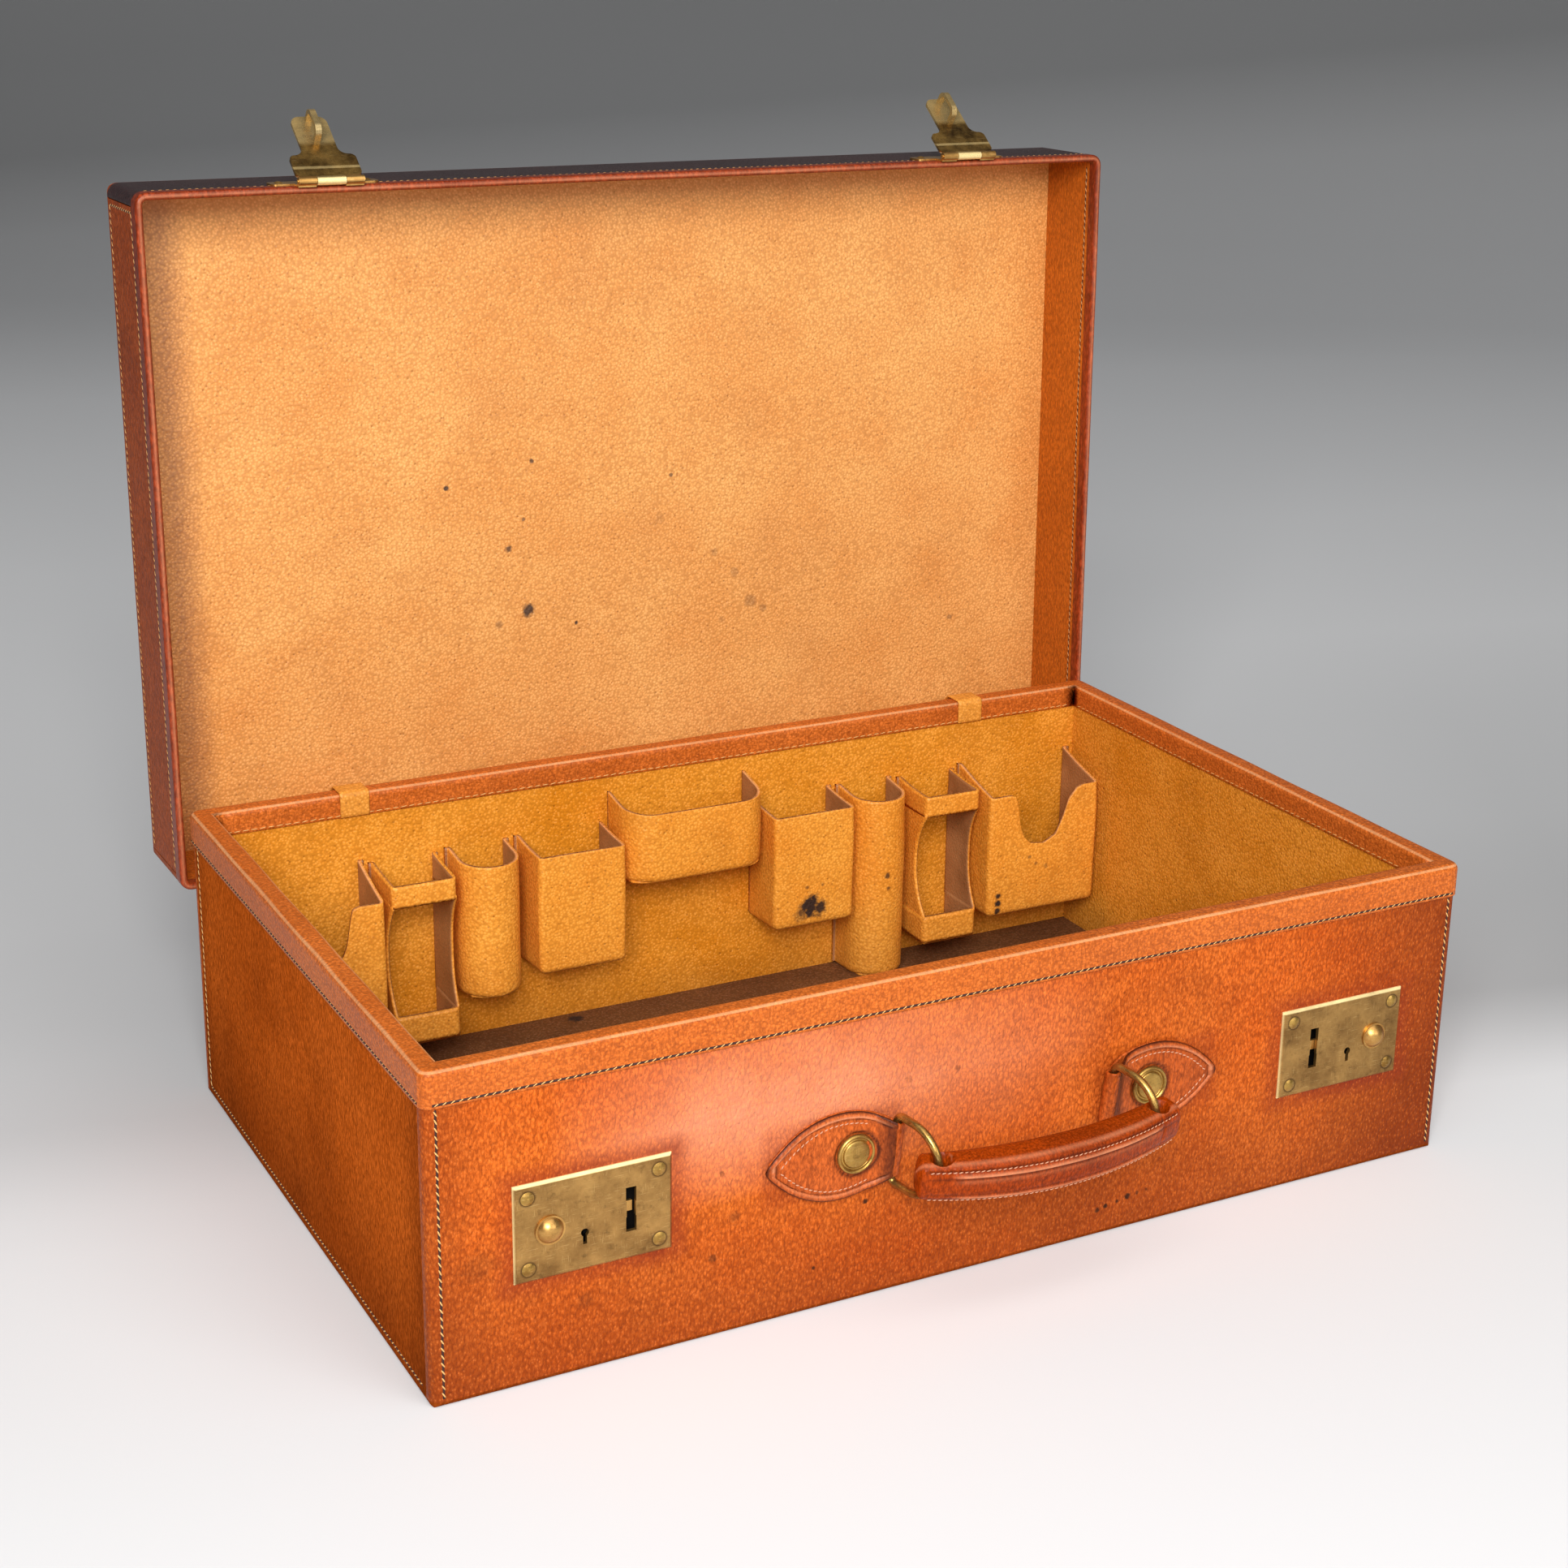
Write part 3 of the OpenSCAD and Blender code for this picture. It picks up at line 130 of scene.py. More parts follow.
# One material: coordinates, textures and the Principled shader's sockets
class Paint:
    def __init__(self, name):
        self.mat = bpy.data.materials.new(name)
        self.mat.use_nodes = True
        self.tree = self.mat.node_tree
        self.shader = self.tree.nodes["Principled BSDF"]
        self.obj = self.add("ShaderNodeTexCoord").outputs["Object"]
        split = self.add("ShaderNodeSeparateXYZ")
        self.tree.links.new(self.obj, split.inputs[0])
        self.x, self.y, self.z = (Sock(self.tree, split.outputs[i]) for i in range(3))

    # a node with its settings and its inputs, by name or number
    def add(self, kind, inputs=(), **given):
        n = self.tree.nodes.new(kind)
        for k, v in given.items():
            setattr(n, k, v)
        for k, v in dict(inputs).items():
            join(self.tree, v, n.inputs[k])
        return n

    # object coordinates times a scale, plus an offset
    def scaled(self, scale, offset):
        scale = scale if isinstance(scale, tuple) else (scale,) * 3
        n = self.add("ShaderNodeMapping", {0: Sock(self.tree, self.obj), "Location": offset, "Scale": scale})
        return Sock(self.tree, n.outputs[0])

    def noise(self, scale, detail=2.0, rough=0.5, offset=(0, 0, 0), distort=0.0):
        n = self.add("ShaderNodeTexNoise", {"Vector": self.scaled(scale, offset), "Scale": 1, "Detail": detail,
                                            "Roughness": rough, "Distortion": distort})
        return Sock(self.tree, n.outputs[0])

    def cells(self, scale, feature="F1", offset=(0, 0, 0), **inputs):
        n = self.add("ShaderNodeTexVoronoi", {"Vector": self.scaled(scale, offset), "Scale": 1, **inputs},
                     feature=feature)
        return Sock(self.tree, n.outputs["Distance"])

    def mix(self, amount, a, b):
        return Sock(self.tree, self.add("ShaderNodeMix", {0: amount, 6: a, 7: b}, data_type="RGBA").outputs[2])

    # a layer of colour over what is there
    def lay(self, amount, colour):
        self.base = self.mix(amount, self.base, colour)

    # depth at a place on an axis, falling to 0 at a distance of width
    def band(self, axis, at, width, depth):
        return (getattr(self, axis) - at * mm).abs().ramp(0.0, width * mm, depth, 0.0)

    # depth between two heights, falling to 0 over the outer part that full leaves free
    def stripe(self, z0, z1, full, depth):
        return (self.z - (z0 + z1) / 2 * mm).abs().ramp((z1 - z0) * full * mm, (z1 - z0) * 0.5 * mm, depth, 0.0)

    # mottled painted shade: depth below height z0, falling to 0 at height z1
    def dirty(self, limits, cloud, colour):
        z0, z1, depth = limits
        self.lay((self.z.ramp(z0 * mm, z1 * mm, depth, 0.0) * (cloud * 0.8 + 0.5)).low(1.0), colour)

    # a number carried by the mesh's points
    def carried(self, name):
        return Sock(self.tree, self.add("ShaderNodeAttribute", attribute_name=name).outputs["Fac"])

    # distance in metres to a point, roughened by noise
    def near(self, point, wobble):
        dx, dy, dz = (c - p * mm for c, p in zip((self.x, self.y, self.z), point))
        d = (dx * dx + dy * dy + dz * dz).power(0.5)
        return d + (self.ragged - 0.5) * wobble

    # mask of dark spots: depth within 0.55 of each radius, falling to 0 at 1.1 of it
    def spots(self, places):
        self.ragged = self.noise(260.0, 3, 0.6)
        mask = None
        for x, y, z, radius, depth in places:
            r = radius * mm
            m = self.near((x, y, z), r * 1.5).ramp(r * 0.55, r * 1.1, depth, 0.0)
            mask = m if mask is None else mask.top(m)
        return mask

    def bump(self, height, strength, distance, before=None):
        n = self.add("ShaderNodeBump", {"Strength": strength, "Distance": distance, "Height": height})
        if before is not None:
            join(self.tree, before, n.inputs["Normal"])
        return Sock(self.tree, n.outputs[0])

    def done(self, **sockets):
        for name, value in sockets.items():
            join(self.tree, value, self.shader.inputs[name.replace("_", " ")])
        return self.mat


# Outer hide: pebbled grain with pores and a painted highlight on each pebble, drifting tone, wear, a painted sheen,
# painted highlights on ridges and painted shade in creases and low parts
def hide(name, light, mid, dark, grain=700.0, rough=0.40, coat=0.05, low=None, marks=None,
         streak=(1.0, 1.0, 0.45), tone=0.5, paintedSheen=None, relief=1.0, joints=(), halos=(), shine=0.14, pebbleHighlights=0.3,
         wearHighlight=None, wearAndPaintedLight=False):
    p = Paint(name)
    light, mid, dark = tint(*light), tint(*mid), tint(*dark)
    drift = p.noise(7.0, 4, 0.55, (3, 1, 2))
    cloud = p.noise(26.0, 4, 0.6, (1, 5, 2))
    pebble = p.cells(tuple(grain * s for s in streak), "SMOOTH_F1", Smoothness=0.35)
    crease = p.cells(tuple(grain * 0.55 * s for s in streak), "DISTANCE_TO_EDGE", (2, 7, 1))
    fine = p.noise(tuple(grain * 2.1 * s for s in streak), 3, 0.6)
    pores = p.cells(grain * 0.34, "F1", (5, 2, 9)).ramp(0.05, 0.2, 1.0, 0.0)
    p.base = p.mix((drift * 0.6 + cloud * 0.4).ramp(0.34, 0.68), mid, light)
    p.lay(p.noise(14.0, 5, 0.65, (8, 3, 4)).ramp(0.52, 0.74, 0.0, tone), dark)
    speck = (pebble.ramp(0.25, 0.75, 0.0, 1.0) * 0.55 + fine * 0.45).ramp(0.42, 0.62)
    p.lay(speck * 0.46, toned(mid, 0.55))
    p.lay(crease.ramp(0.0, 0.14, 0.22, 0.0), toned(dark, 0.7))
    wrinkle = p.noise((grain * 1.5, grain * 1.5, grain * 0.5), 3, 0.6, (6, 2, 2), 0.8)
    p.lay(wrinkle.ramp(0.5, 0.64, 0.0, 0.34), toned(dark, 0.8))
    p.lay(wrinkle.ramp(0.36, 0.46, 0.3, 0.0), toned(light, 1.3, 0.01))
    p.lay(pores * 0.3, toned(dark, 0.6))
    scuff = p.noise((240.0, 240.0, 60.0), 5, 0.7, (4, 4, 1), 1.2).ramp(0.66, 0.74)
    p.lay(scuff * 0.35, dark)
    # painted shade towards the bottom
    if low is not None:
        p.dirty(low, cloud, dark)
    # dark bands across an axis: dark joints, and painted shade over a side turned from the light
    for darkBand in joints:
        p.lay(p.band(*darkBand) * (cloud * 0.9 + 0.35), dark)
    if paintedSheen is not None:
        # painted sheen: a soft highlight laid over one area of the surface
        (x0, x1, z0, z1), colour, depth = paintedSheen
        glow = p.z.ramp(z0 * mm, (z0 + z1) / 2 * mm) * p.z.ramp((z0 + z1) / 2 * mm, z1 * mm, 1.0, 0.25)
        glow = glow * p.x.ramp(x0 * mm, (x0 + 90) * mm) * p.x.ramp((x1 - 160) * mm, x1 * mm, 1.0, 0.0)
        p.lay(glow * (cloud * 0.7 + 0.35) * depth, tint(*colour))
    for x0, x1, z0, z1, width, depth in halos:
        dx = ((p.x - (x0 + x1) / 2 * mm).abs() - (x1 - x0) / 2 * mm).top(0.0)
        dz = ((p.z - (z0 + z1) / 2 * mm).abs() - (z1 - z0) / 2 * mm).top(0.0)
        ring = (dx * dx + dz * dz).power(0.5).ramp(0.0, width * mm, depth, 0.0)
        p.lay(ring * (cloud * 1.8 - 0.25).top(0.0), tint(124, 42, 22))
    # painted highlight on each pebble
    p.lay(pebble.ramp(0.10, 0.30, pebbleHighlights, 0.0), toned(light, 1.5, 0.03))
    # wear with a painted highlight along an edge
    if wearHighlight is not None:
        p.lay(p.stripe(*wearHighlight) * (cloud * 0.9 + 0.45), tint(250, 204, 150))
    # painted highlight with wear on ridges and painted shade in creases, from the numbers the mesh carries
    if wearAndPaintedLight:
        p.lay(p.carried("ridge") * (cloud * 1.1 + 0.15), tint(238, 160, 116))
        p.lay(p.carried("crease") * 0.9, tint(46, 16, 8))
    if marks:
        p.lay(p.spots(marks), tint(38, 24, 16))
    height = pebble * 0.9 - wrinkle * 0.8 + fine * 0.35 + crease.ramp(0.0, 0.2) * 0.5 - pores * 0.6
    normal = p.bump(p.noise(34.0, 3, 0.5, (6, 6, 6)), 0.35, 1.2 * mm)
    normal = p.bump(height, 0.7 * relief, 0.45 * mm, normal)
    return p.done(Base_Color=p.base, Roughness=(fine * 0.22 + cloud * 0.16 + (rough - 0.16)),
                  Normal=normal, Coat_Weight=coat, Coat_Roughness=0.28, Specular_IOR_Level=shine)


# Lining skin: fine even pores with a painted highlight on each pebble, soft stains, painted shade in low parts, and
# bands of colour
def liningSkin(name, light, mid, dark, marks=None, grain=640.0, rough=0.5, low=None, relief=1.0, stain=0.28,
               flesh=False, shine=0.3, shades=()):
    p = Paint(name)
    light, mid, dark = tint(*light), tint(*mid), tint(*dark)
    drift = p.noise(9.0, 4, 0.55, (2, 8, 1))
    cloud = p.noise(31.0, 4, 0.6, (7, 5, 3))
    pebble = p.cells(grain, "SMOOTH_F1", Smoothness=0.3)
    pit = p.cells(grain * 0.42, "F1", (3, 3, 8))
    fine = p.noise(grain * 2.0, 3, 0.6)
    p.base = p.mix((drift * 0.55 + cloud * 0.45).ramp(0.36, 0.66), mid, light)
    p.lay(p.noise(15.0, 5, 0.62, (1, 9, 5)).ramp(0.55, 0.75, 0.0, stain), dark)
    p.lay(pebble.ramp(0.35, 0.7, 0.0, 0.5), toned(mid, 0.62))
    # painted highlight on each pebble
    p.lay(pebble.ramp(0.12, 0.34, 0.4, 0.0), toned(light, 1.2, 0.08))
    p.lay(pit.ramp(0.06, 0.2, 0.5, 0.0), toned(dark, 0.7))
    p.lay(p.noise(420.0, 2, 0.5, (2, 2, 6)).ramp(0.70, 0.76, 0.0, 0.5), dark)
    # painted shade towards the bottom
    if low is not None:
        p.dirty(low, cloud, tint(92, 56, 28))
    # bands of colour across an axis, such as painted shade beside a wall
    for axis, at, width, colour, depth in shades:
        p.lay(p.band(axis, at, width, depth) * (pebble * 0.9 + 0.55), tint(*colour))
    if flesh:
        suede = p.mix(cloud.ramp(0.3, 0.7), tint(136, 86, 50), tint(176, 120, 76))
        p.lay(p.carried("inner"), suede)
        p.lay(p.carried("rim") * 0.75, tint(224, 158, 112))
    if marks:
        p.lay(p.spots(marks), tint(34, 28, 30))
    normal = p.bump(p.noise(22.0, 3, 0.5, (6, 1, 6)), 0.3, 1.0 * mm)
    normal = p.bump(pebble * 0.8 + fine * 0.3 + pit.ramp(0.0, 0.25) * 0.6, 0.8 * relief, 0.5 * mm, normal)
    return p.done(Base_Color=p.base, Roughness=(fine * 0.2 + (rough - 0.1)), Normal=normal,
                  Coat_Weight=0.04, Coat_Roughness=0.4, Specular_IOR_Level=shine)


# Dull brass: tarnish clouds, dark crevices and fine scratches
def brassSkin(name, light, dark, rough=0.34, grime=0.5, plates=(), highlightBands=()):
    p = Paint(name)
    light, dark = tint(*light), tint(*dark)
    cloud = p.noise(60.0, 5, 0.65, (1, 2, 3))
    dirt = p.noise(190.0, 5, 0.7, (4, 1, 7))
    scratch = p.noise((140.0, 900.0, 2400.0), 2, 0.5, (0, 3, 1))
    cross = p.noise((2200.0, 900.0, 160.0), 2, 0.5, (5, 3, 1))
    p.base = p.mix(cloud.ramp(0.35, 0.68), dark, light)
    p.lay(dirt.ramp(0.55, 0.72, 0.0, grime), tint(70, 48, 26))
    p.lay((scratch.ramp(0.62, 0.7) + cross.ramp(0.64, 0.72)).low(1.0) * 0.35, tint(232, 196, 128))
    metal = 0.92
    # painted highlight in bands across the hasp, less metallic there
    for z0, z1, depth in highlightBands:
        line = p.stripe(z0, z1, 0.4, depth)
        p.lay(line, tint(255, 226, 158))
        metal = line * -0.5 + metal
    for x, z, halfW, halfH in plates:
        dx, dz = p.x - x * mm, p.z - z * mm
        # painted highlight along the plate's top edge and, weaker, its left and lower edges, as on lit bevels, with
        # wear; less metallic there
        wearAndPaintedLight = (dz.ramp((halfH - 1.3) * mm, (halfH - 0.9) * mm) + dx.ramp(-halfW * mm, (0.9 - halfW) * mm, 0.7, 0.0)
                + dz.ramp(-halfH * mm, (1.0 - halfH) * mm, 0.3, 0.0)).low(1.0)
        here = dx.abs().ramp((halfW + 2) * mm, (halfW + 3) * mm, 1.0, 0.0)
        wearAndPaintedLight = wearAndPaintedLight * here * (cloud * 0.6 + 0.6)
        ring = ((dx.abs() - (halfW - 6.5) * mm).power(2.0) + (dz.abs() - (halfH - 6.5) * mm).power(2.0)).power(0.5)
        p.lay(ring.ramp(3.3 * mm, 4.3 * mm, 0.8, 0.0) * here, tint(66, 44, 24))
        p.lay(wearAndPaintedLight, tint(255, 232, 166))
        metal = wearAndPaintedLight * -0.55 + metal
    normal = p.bump(scratch + cross + dirt * 1.4, 0.25, 0.08 * mm, p.bump(cloud, 0.2, 0.5 * mm))
    return p.done(Base_Color=p.base, Metallic=metal, Roughness=dirt.ramp(0.3, 0.75, rough - 0.08, rough + 0.26),
                  Normal=normal)


# Plain skin: one colour with a fine grain
def plainSkin(name, colour, rough, metal=0.0, grain=300.0):
    p = Paint(name)
    colour = tint(*colour)
    n = p.noise(grain, 4, 0.6)
    p.base = p.mix(n.ramp(0.3, 0.7), colour, toned(colour, 0.6))
    return p.done(Base_Color=p.base, Roughness=n.ramp(0.3, 0.7, rough - 0.1, rough + 0.1), Metallic=metal,
                  Normal=p.bump(n, 0.3, 0.2 * mm))


caseLight, caseMid, caseDark = (217, 111, 38), (190, 77, 12), (102, 35, 8)
liningLight, liningMid, liningDark = (236, 156, 56), (212, 128, 26), (148, 80, 16)
pocketLight, pocketMid, pocketDark = (246, 166, 62), (228, 138, 38), (146, 80, 22)

frontMarks = [(x, -177, z, radius, depth) for x, z, radius, depth in (
    (65.7, 13.9, 1.6, 0.8), (70.4, 15.0, 1.5, 0.9), (77.1, 16.0, 1.1, 0.8), (83.3, 17.2, 1.8, 0.9),
    (89.1, 17.9, 1.2, 0.7), (94.5, 18.6, 1.1, 0.6), (-66, 50.4, 1.6, 0.9), (-93, 22, 1.2, 0.8),
    (-140.3, 82.1, 1.6, 0.5), (-134, 58.9, 3.2, 0.4), (-144.9, 40.1, 2.2, 0.55),
    (-207.9, 35.4, 4.5, 0.25), (-44.4, 108.2, 2.2, 0.3), (-18.1, 108.5, 1.6, 0.35),
    (-256.9, 64.9, 9, 0.25))]
# frontHide's low band is painted shade towards the bottom of the front
frontHide = hide("frontHide", caseLight, caseMid, caseDark, low=(2, 80, 0.6), tone=0.42,
                 # its sheen is a painted highlight over the upper middle of the front
                 paintedSheen=((-225, 70, 66, 152), (236, 160, 128), 0.72), streak=(1.0, 1.0, 0.62),
                 # its band at x 276 is painted shade over the right end of the front; the narrow one at x -276 is a
                 # dark joint
                 joints=(("x", -276, 26, 0.5), ("x", 276, 96, 0.95)), pebbleHighlights=0.24, shine=0.06, coat=0.02,
                 halos=((-244, -163, 50, 101, 8, 0.8), (169, 250, 50, 101, 9, 0.85),
                        (-116, -52, 62, 94, 7, 0.6), (64, 128, 62, 94, 7, 0.6)), marks=frontMarks)
backHide = hide("backHide", caseLight, caseMid, caseDark, low=(2, 60, 0.45), tone=0.5, shine=0.05, coat=0.0,
                joints=(("x", -276, 26, 0.5), ("x", 276, 26, 0.5)))
endHide = hide("endHide", (210, 102, 32), (184, 82, 18), (98, 38, 10), low=(2, 76, 0.65),
               tone=0.5, joints=(("y", -170, 26, 0.6), ("y", 170, 20, 0.6)), shine=0.0, coat=0.0, pebbleHighlights=0.12)
bandHide = hide("bandHide", (214, 113, 42), (191, 91, 25), (130, 56, 22),
                # bandHide's stripe is wear with a painted highlight along the rim's top outer edge
                rough=0.36, tone=0.3, streak=(0.8, 0.8, 1.0), relief=0.7, wearHighlight=(159.6, 160.8, 0.25, 0.35))
lidHide = hide("lidHide", (176, 84, 36), (148, 62, 24), (84, 34, 16), tone=0.4, shine=0.05, coat=0.0)
# the lid's front wall, the top when the lid is open, painted near-black as shade
lidTopHide = hide("lidTopHide", (74, 46, 42), (50, 34, 36), (30, 20, 24), tone=0.4, coat=0.2)
weltHide = hide("weltHide", (160, 62, 22), (124, 40, 12), (62, 20, 10), grain=500,
                rough=0.32, tone=0.5, relief=0.6, coat=0.12, shine=0.15, wearAndPaintedLight=True)
facingHide = hide("facingHide", (206, 110, 28), (184, 92, 18), (126, 58, 14), rough=0.46,
                  tone=0.25, relief=0.6, coat=0.04, pebbleHighlights=0.15)
gripHide = hide("gripHide", (172, 66, 4), (138, 46, 0), (54, 16, 2),
                rough=0.30, tone=0.5, relief=0.5, pebbleHighlights=0.06, shine=0.08, wearAndPaintedLight=True)
tabHide = hide("tabHide", (200, 96, 36), (166, 68, 18), (80, 28, 10),
               rough=0.34, tone=0.5, coat=0.06, relief=0.6, pebbleHighlights=0.1, shine=0.1, wearAndPaintedLight=True)
edgeHide = plainSkin("edgeHide", (60, 26, 16), 0.7)
# lidLining's band at x -262 is painted shade cast by the lid's left wall; the one at z 476 is a more orange band along
# the top
lidLining = liningSkin("lidLining", (231, 164, 90), (217, 141, 67), (160, 92, 38), marks=(
    (-62.8, 235.9, 230.1, 4.6, 0.9), (-59.1, 237.4, 316.9, 1.5, 0.8), (-110.4, 237.2, 305.8, 1.8, 0.9),
    (27.7, 237.2, 301.1, 1.3, 0.7), (-74.2, 236.6, 267.6, 2.4, 0.8), (-64.9, 236.9, 283.7, 1.3, 0.7),
    (-33.7, 235.7, 219.4, 1.2, 0.9), (-81.4, 235.8, 223.6, 3.0, 0.35), (55.4, 236.3, 252.1, 2.6, 0.28),
    (68.8, 236.1, 238.3, 3.2, 0.28), (79.6, 235.7, 219.6, 4.2, 0.34), (87.9, 235.5, 214.0, 2.6, 0.3),
    (60.0, 235.5, 210.0, 2.4, 0.22), (219.3, 235.3, 193.1, 2.0, 0.4), (20.0, 236.8, 276.0, 3.4, 0.16)),
    shine=0.4, shades=(("x", -262, 15, (150, 98, 64), 0.5), ("z", 476, 15, (216, 124, 26), 0.7)))
# baseLining's low band is painted shade at the foot of the walls
baseLining = liningSkin("baseLining", liningLight, liningMid, liningDark, low=(4, 30, 0.35), stain=0.4, shine=0.06)
floorLining = liningSkin("floorLining", (122, 76, 40), (94, 56, 30), (54, 32, 20), rough=0.6,
                         stain=0.7, marks=((-69.2, 158.8, 6.5, 5, 0.95), (-200, 120, 6.5, 4, 0.6)))
# pocketLook's low band is painted shade towards the pockets' feet
pocketLook = {"low": (4, 70, 0.3), "relief": 0.8, "rough": 0.44, "flesh": True}
pocketSkin = liningSkin("pocketSkin", pocketLight, pocketMid, pocketDark, **pocketLook)
markedSkin = liningSkin("markedSkin", pocketLight, pocketMid, pocketDark, **pocketLook, marks=(
    (194.6, 127, 38, 2.4, 0.95), (194.6, 127, 43, 2.6, 0.97), (194.4, 127, 48, 2.3, 0.95), (68, 130, 62, 8.0, 0.97),
    (75, 130, 60, 6, 0.95), (62, 130, 58, 5, 0.8), (66, 131, 74, 1.6, 0.6), (76, 131, 74, 1.4, 0.6),
    (67, 131, 80, 1.2, 0.5), (120, 132, 72, 2.2, 0.8), (121, 132, 64, 1.8, 0.7), (118, 132, 50, 1.4, 0.6),
    (216, 127, 70, 1.6, 0.6), (221, 127, 65, 1.5, 0.5), (228, 127, 62, 1.6, 0.4)))
tabSkin = liningSkin("tabSkin", (236, 160, 64), (218, 136, 44), (150, 84, 24), relief=0.6)
brassPlate = brassSkin("brassPlate", (188, 146, 84), (136, 100, 54), rough=0.34, grime=0.55,
                       plates=((-203.5, 75.5, 37.75, 23.75), (209.5, 75.5, 37.75, 23.75)))
brassRing = brassSkin("brassRing", (206, 160, 84), (104, 74, 34), rough=0.24, grime=0.5)
# brassHasp: darker brass as painted shade on the hasps' leaves, with painted highlight bands across the knuckles
brassHasp = brassSkin("brassHasp", (206, 160, 84), (70, 46, 20), rough=0.22, grime=0.6,
                      highlightBands=((478, 486, 0.9), (489, 490.2, 0.4), (499, 520, 0.35)))
studBrass = brassSkin("studBrass", (206, 166, 88), (140, 104, 48), rough=0.3, grime=0.45)
# lighter brass for the hasps' pins (brassNail) and plates and rivets (brassBright): painted highlight on the knuckles
brassNail = brassSkin("brassNail", (240, 200, 120), (190, 146, 76), rough=0.3, grime=0.3)
brassBright = brassSkin("brassBright", (214, 168, 96), (170, 122, 62), rough=0.28, grime=0.35)
darkSteel = plainSkin("darkSteel", (34, 30, 28), 0.6, 0.7)
pine = plainSkin("pine", (196, 160, 112), 0.7)
thread = plainSkin("thread", (240, 186, 112), 0.75, grain=2500)
threadPink = plainSkin("threadPink", (222, 160, 124), 0.7, grain=2500)
threadDark = plainSkin("threadDark", (206, 150, 92), 0.75, grain=2500)
print("materials made")


# Soft hump: exp(-((x - at) / width)^2)
def hump(x, at, width):
    return np.exp(-((x - at) / width) ** 2)


def clip01(x):
    return np.clip(x, 0, 1)


def outwardFaces(me):
    b = bmesh.new()
    b.from_mesh(me)
    bmesh.ops.recalc_face_normals(b, faces=b.faces)
    b.to_mesh(me)
    b.free()


# A smooth mesh piece from points in mm: the nodes it replaces and the body it rides on
def build(name, verts, faces, body, paint, replaces=(), carries=None):
    me = bpy.data.meshes.new(name)
    me.from_pydata((np.asarray(verts, float) * mm).tolist(), [], faces)
    me.validate()
    me.update()
    outwardFaces(me)
    me.polygons.foreach_set("use_smooth", [True] * len(me.polygons))
    for key, values in (carries or {}).items():
        me.attributes.new(key, "FLOAT", "POINT").data.foreach_set("value", np.asarray(values, np.float32))
    o = bpy.data.objects.new(name, me)
    bpy.context.scene.collection.objects.link(o)
    me.materials.append(paint)
    if replaces:
        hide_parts(*replaces)
    if body:
        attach(o, body)
    return o


# Grid faces for m by n points, wrapped round in either direction
def gridFaces(m, n, wrapM=False, wrapN=False, start=0):
    i, j = np.meshgrid(np.arange(m if wrapM else m - 1), np.arange(n if wrapN else n - 1), indexing="ij")
    a, b = (i + 1) % m, (j + 1) % n
    q = np.stack([i * n + j, a * n + j, a * n + b, i * n + b], -1).reshape(-1, 4) + start
    return q.tolist()


# Faces of a capped tube of m rings with n points each
def tubeFaces(m, n):
    return gridFaces(m, n, False, True) + [list(range(n)), list(range((m - 1) * n, m * n))[::-1]]


# The same faces, counted from a later vertex
def counted(faces, start):
    return [[q + start for q in face] for face in faces]


# Grid of points from three arrays that broadcast together
def points(x, y, z):
    return np.stack(np.broadcast_arrays(x, y, z), -1).astype(float)


def unit(v):
    return v / np.maximum(np.linalg.norm(v, axis=-1, keepdims=True), 1e-9)


# Points turned about a line along x through the pivot's (y, z)
def turnedX(p, degrees, pivot=(0, 0)):
    p = np.asarray(p, float)
    a = math.radians(degrees)
    y, z = p[..., 1] - pivot[0], p[..., 2] - pivot[1]
    return points(p[..., 0], pivot[0] + y * math.cos(a) - z * math.sin(a), pivot[1] + y * math.sin(a) + z * math.cos(a))


# Closed solid round a sheet: middle surface + and - half the thickness along its normal, with
# half-round rims that stand out by lip times the thickness
def thick(grid, t, lip=0.4, loop=False):
    g = np.asarray(grid, float)
    m, n = g.shape[:2]
    gu = np.roll(g, -1, 0) - np.roll(g, 1, 0) if loop else np.gradient(g, axis=0)
    gv = np.gradient(g, axis=1)
    normals = unit(np.cross(gu, gv))
    top, low = g + normals * t / 2, g - normals * t / 2
    left = g[:, 0] - unit(gv[:, 0]) * t * lip
    rightSide = g[:, -1] + unit(gv[:, -1]) * t * lip
    # one ring per row: top left to right, right rim, low right to left, left rim
    ring = np.concatenate([top, rightSide[:, None], low[:, ::-1], left[:, None]], 1)
    k = ring.shape[1]
    verts = ring.reshape(-1, 3)
    faces = gridFaces(m, k, loop, True)
    if not loop:
        for row, sign in ((0, -1), (m - 1, 1)):
            rim = g[row] + sign * unit(gu[row]) * t * lip
            base = len(verts)
            verts = np.concatenate([verts, rim])
            o = row * k
            # on the low side, point j of the row counts backwards from under
            under, rightRim, leftRim = o + 2 * n, o + n, o + 2 * n + 1
            ends = []
            for j in range(n - 1):
                ends.append([o + j, base + j, base + j + 1, o + j + 1])
                ends.append([under - j, under - j - 1, base + j + 1, base + j])
            ends += [[o, leftRim, base], [leftRim, under, base], [o + n - 1, base + n - 1, rightRim],
                     [rightRim, base + n - 1, under - n + 1]]
            faces += [f[::-sign] for f in ends]
    return verts, faces


# One value per grid point, repeated for every vertex that thick() makes from that grid
def spread(values, loop=False):
    ring = np.concatenate([values, values[:, -1:], values[:, ::-1], values[:, :1]], 1).ravel()
    return ring if loop else np.concatenate([ring, values[0], values[-1]])


# Solid of revolution about a line along -y: profile rows are (radius, height)
def turned(profile, x, y, z, n=48):
    r, h = np.asarray(profile, float).T
    a = np.linspace(0, 2 * math.pi, n, endpoint=False)
    grid = points(x + r[:, None] * np.cos(a), y - h[:, None], z + r[:, None] * np.sin(a))
    return grid.reshape(-1, 3), tubeFaces(len(r), n)


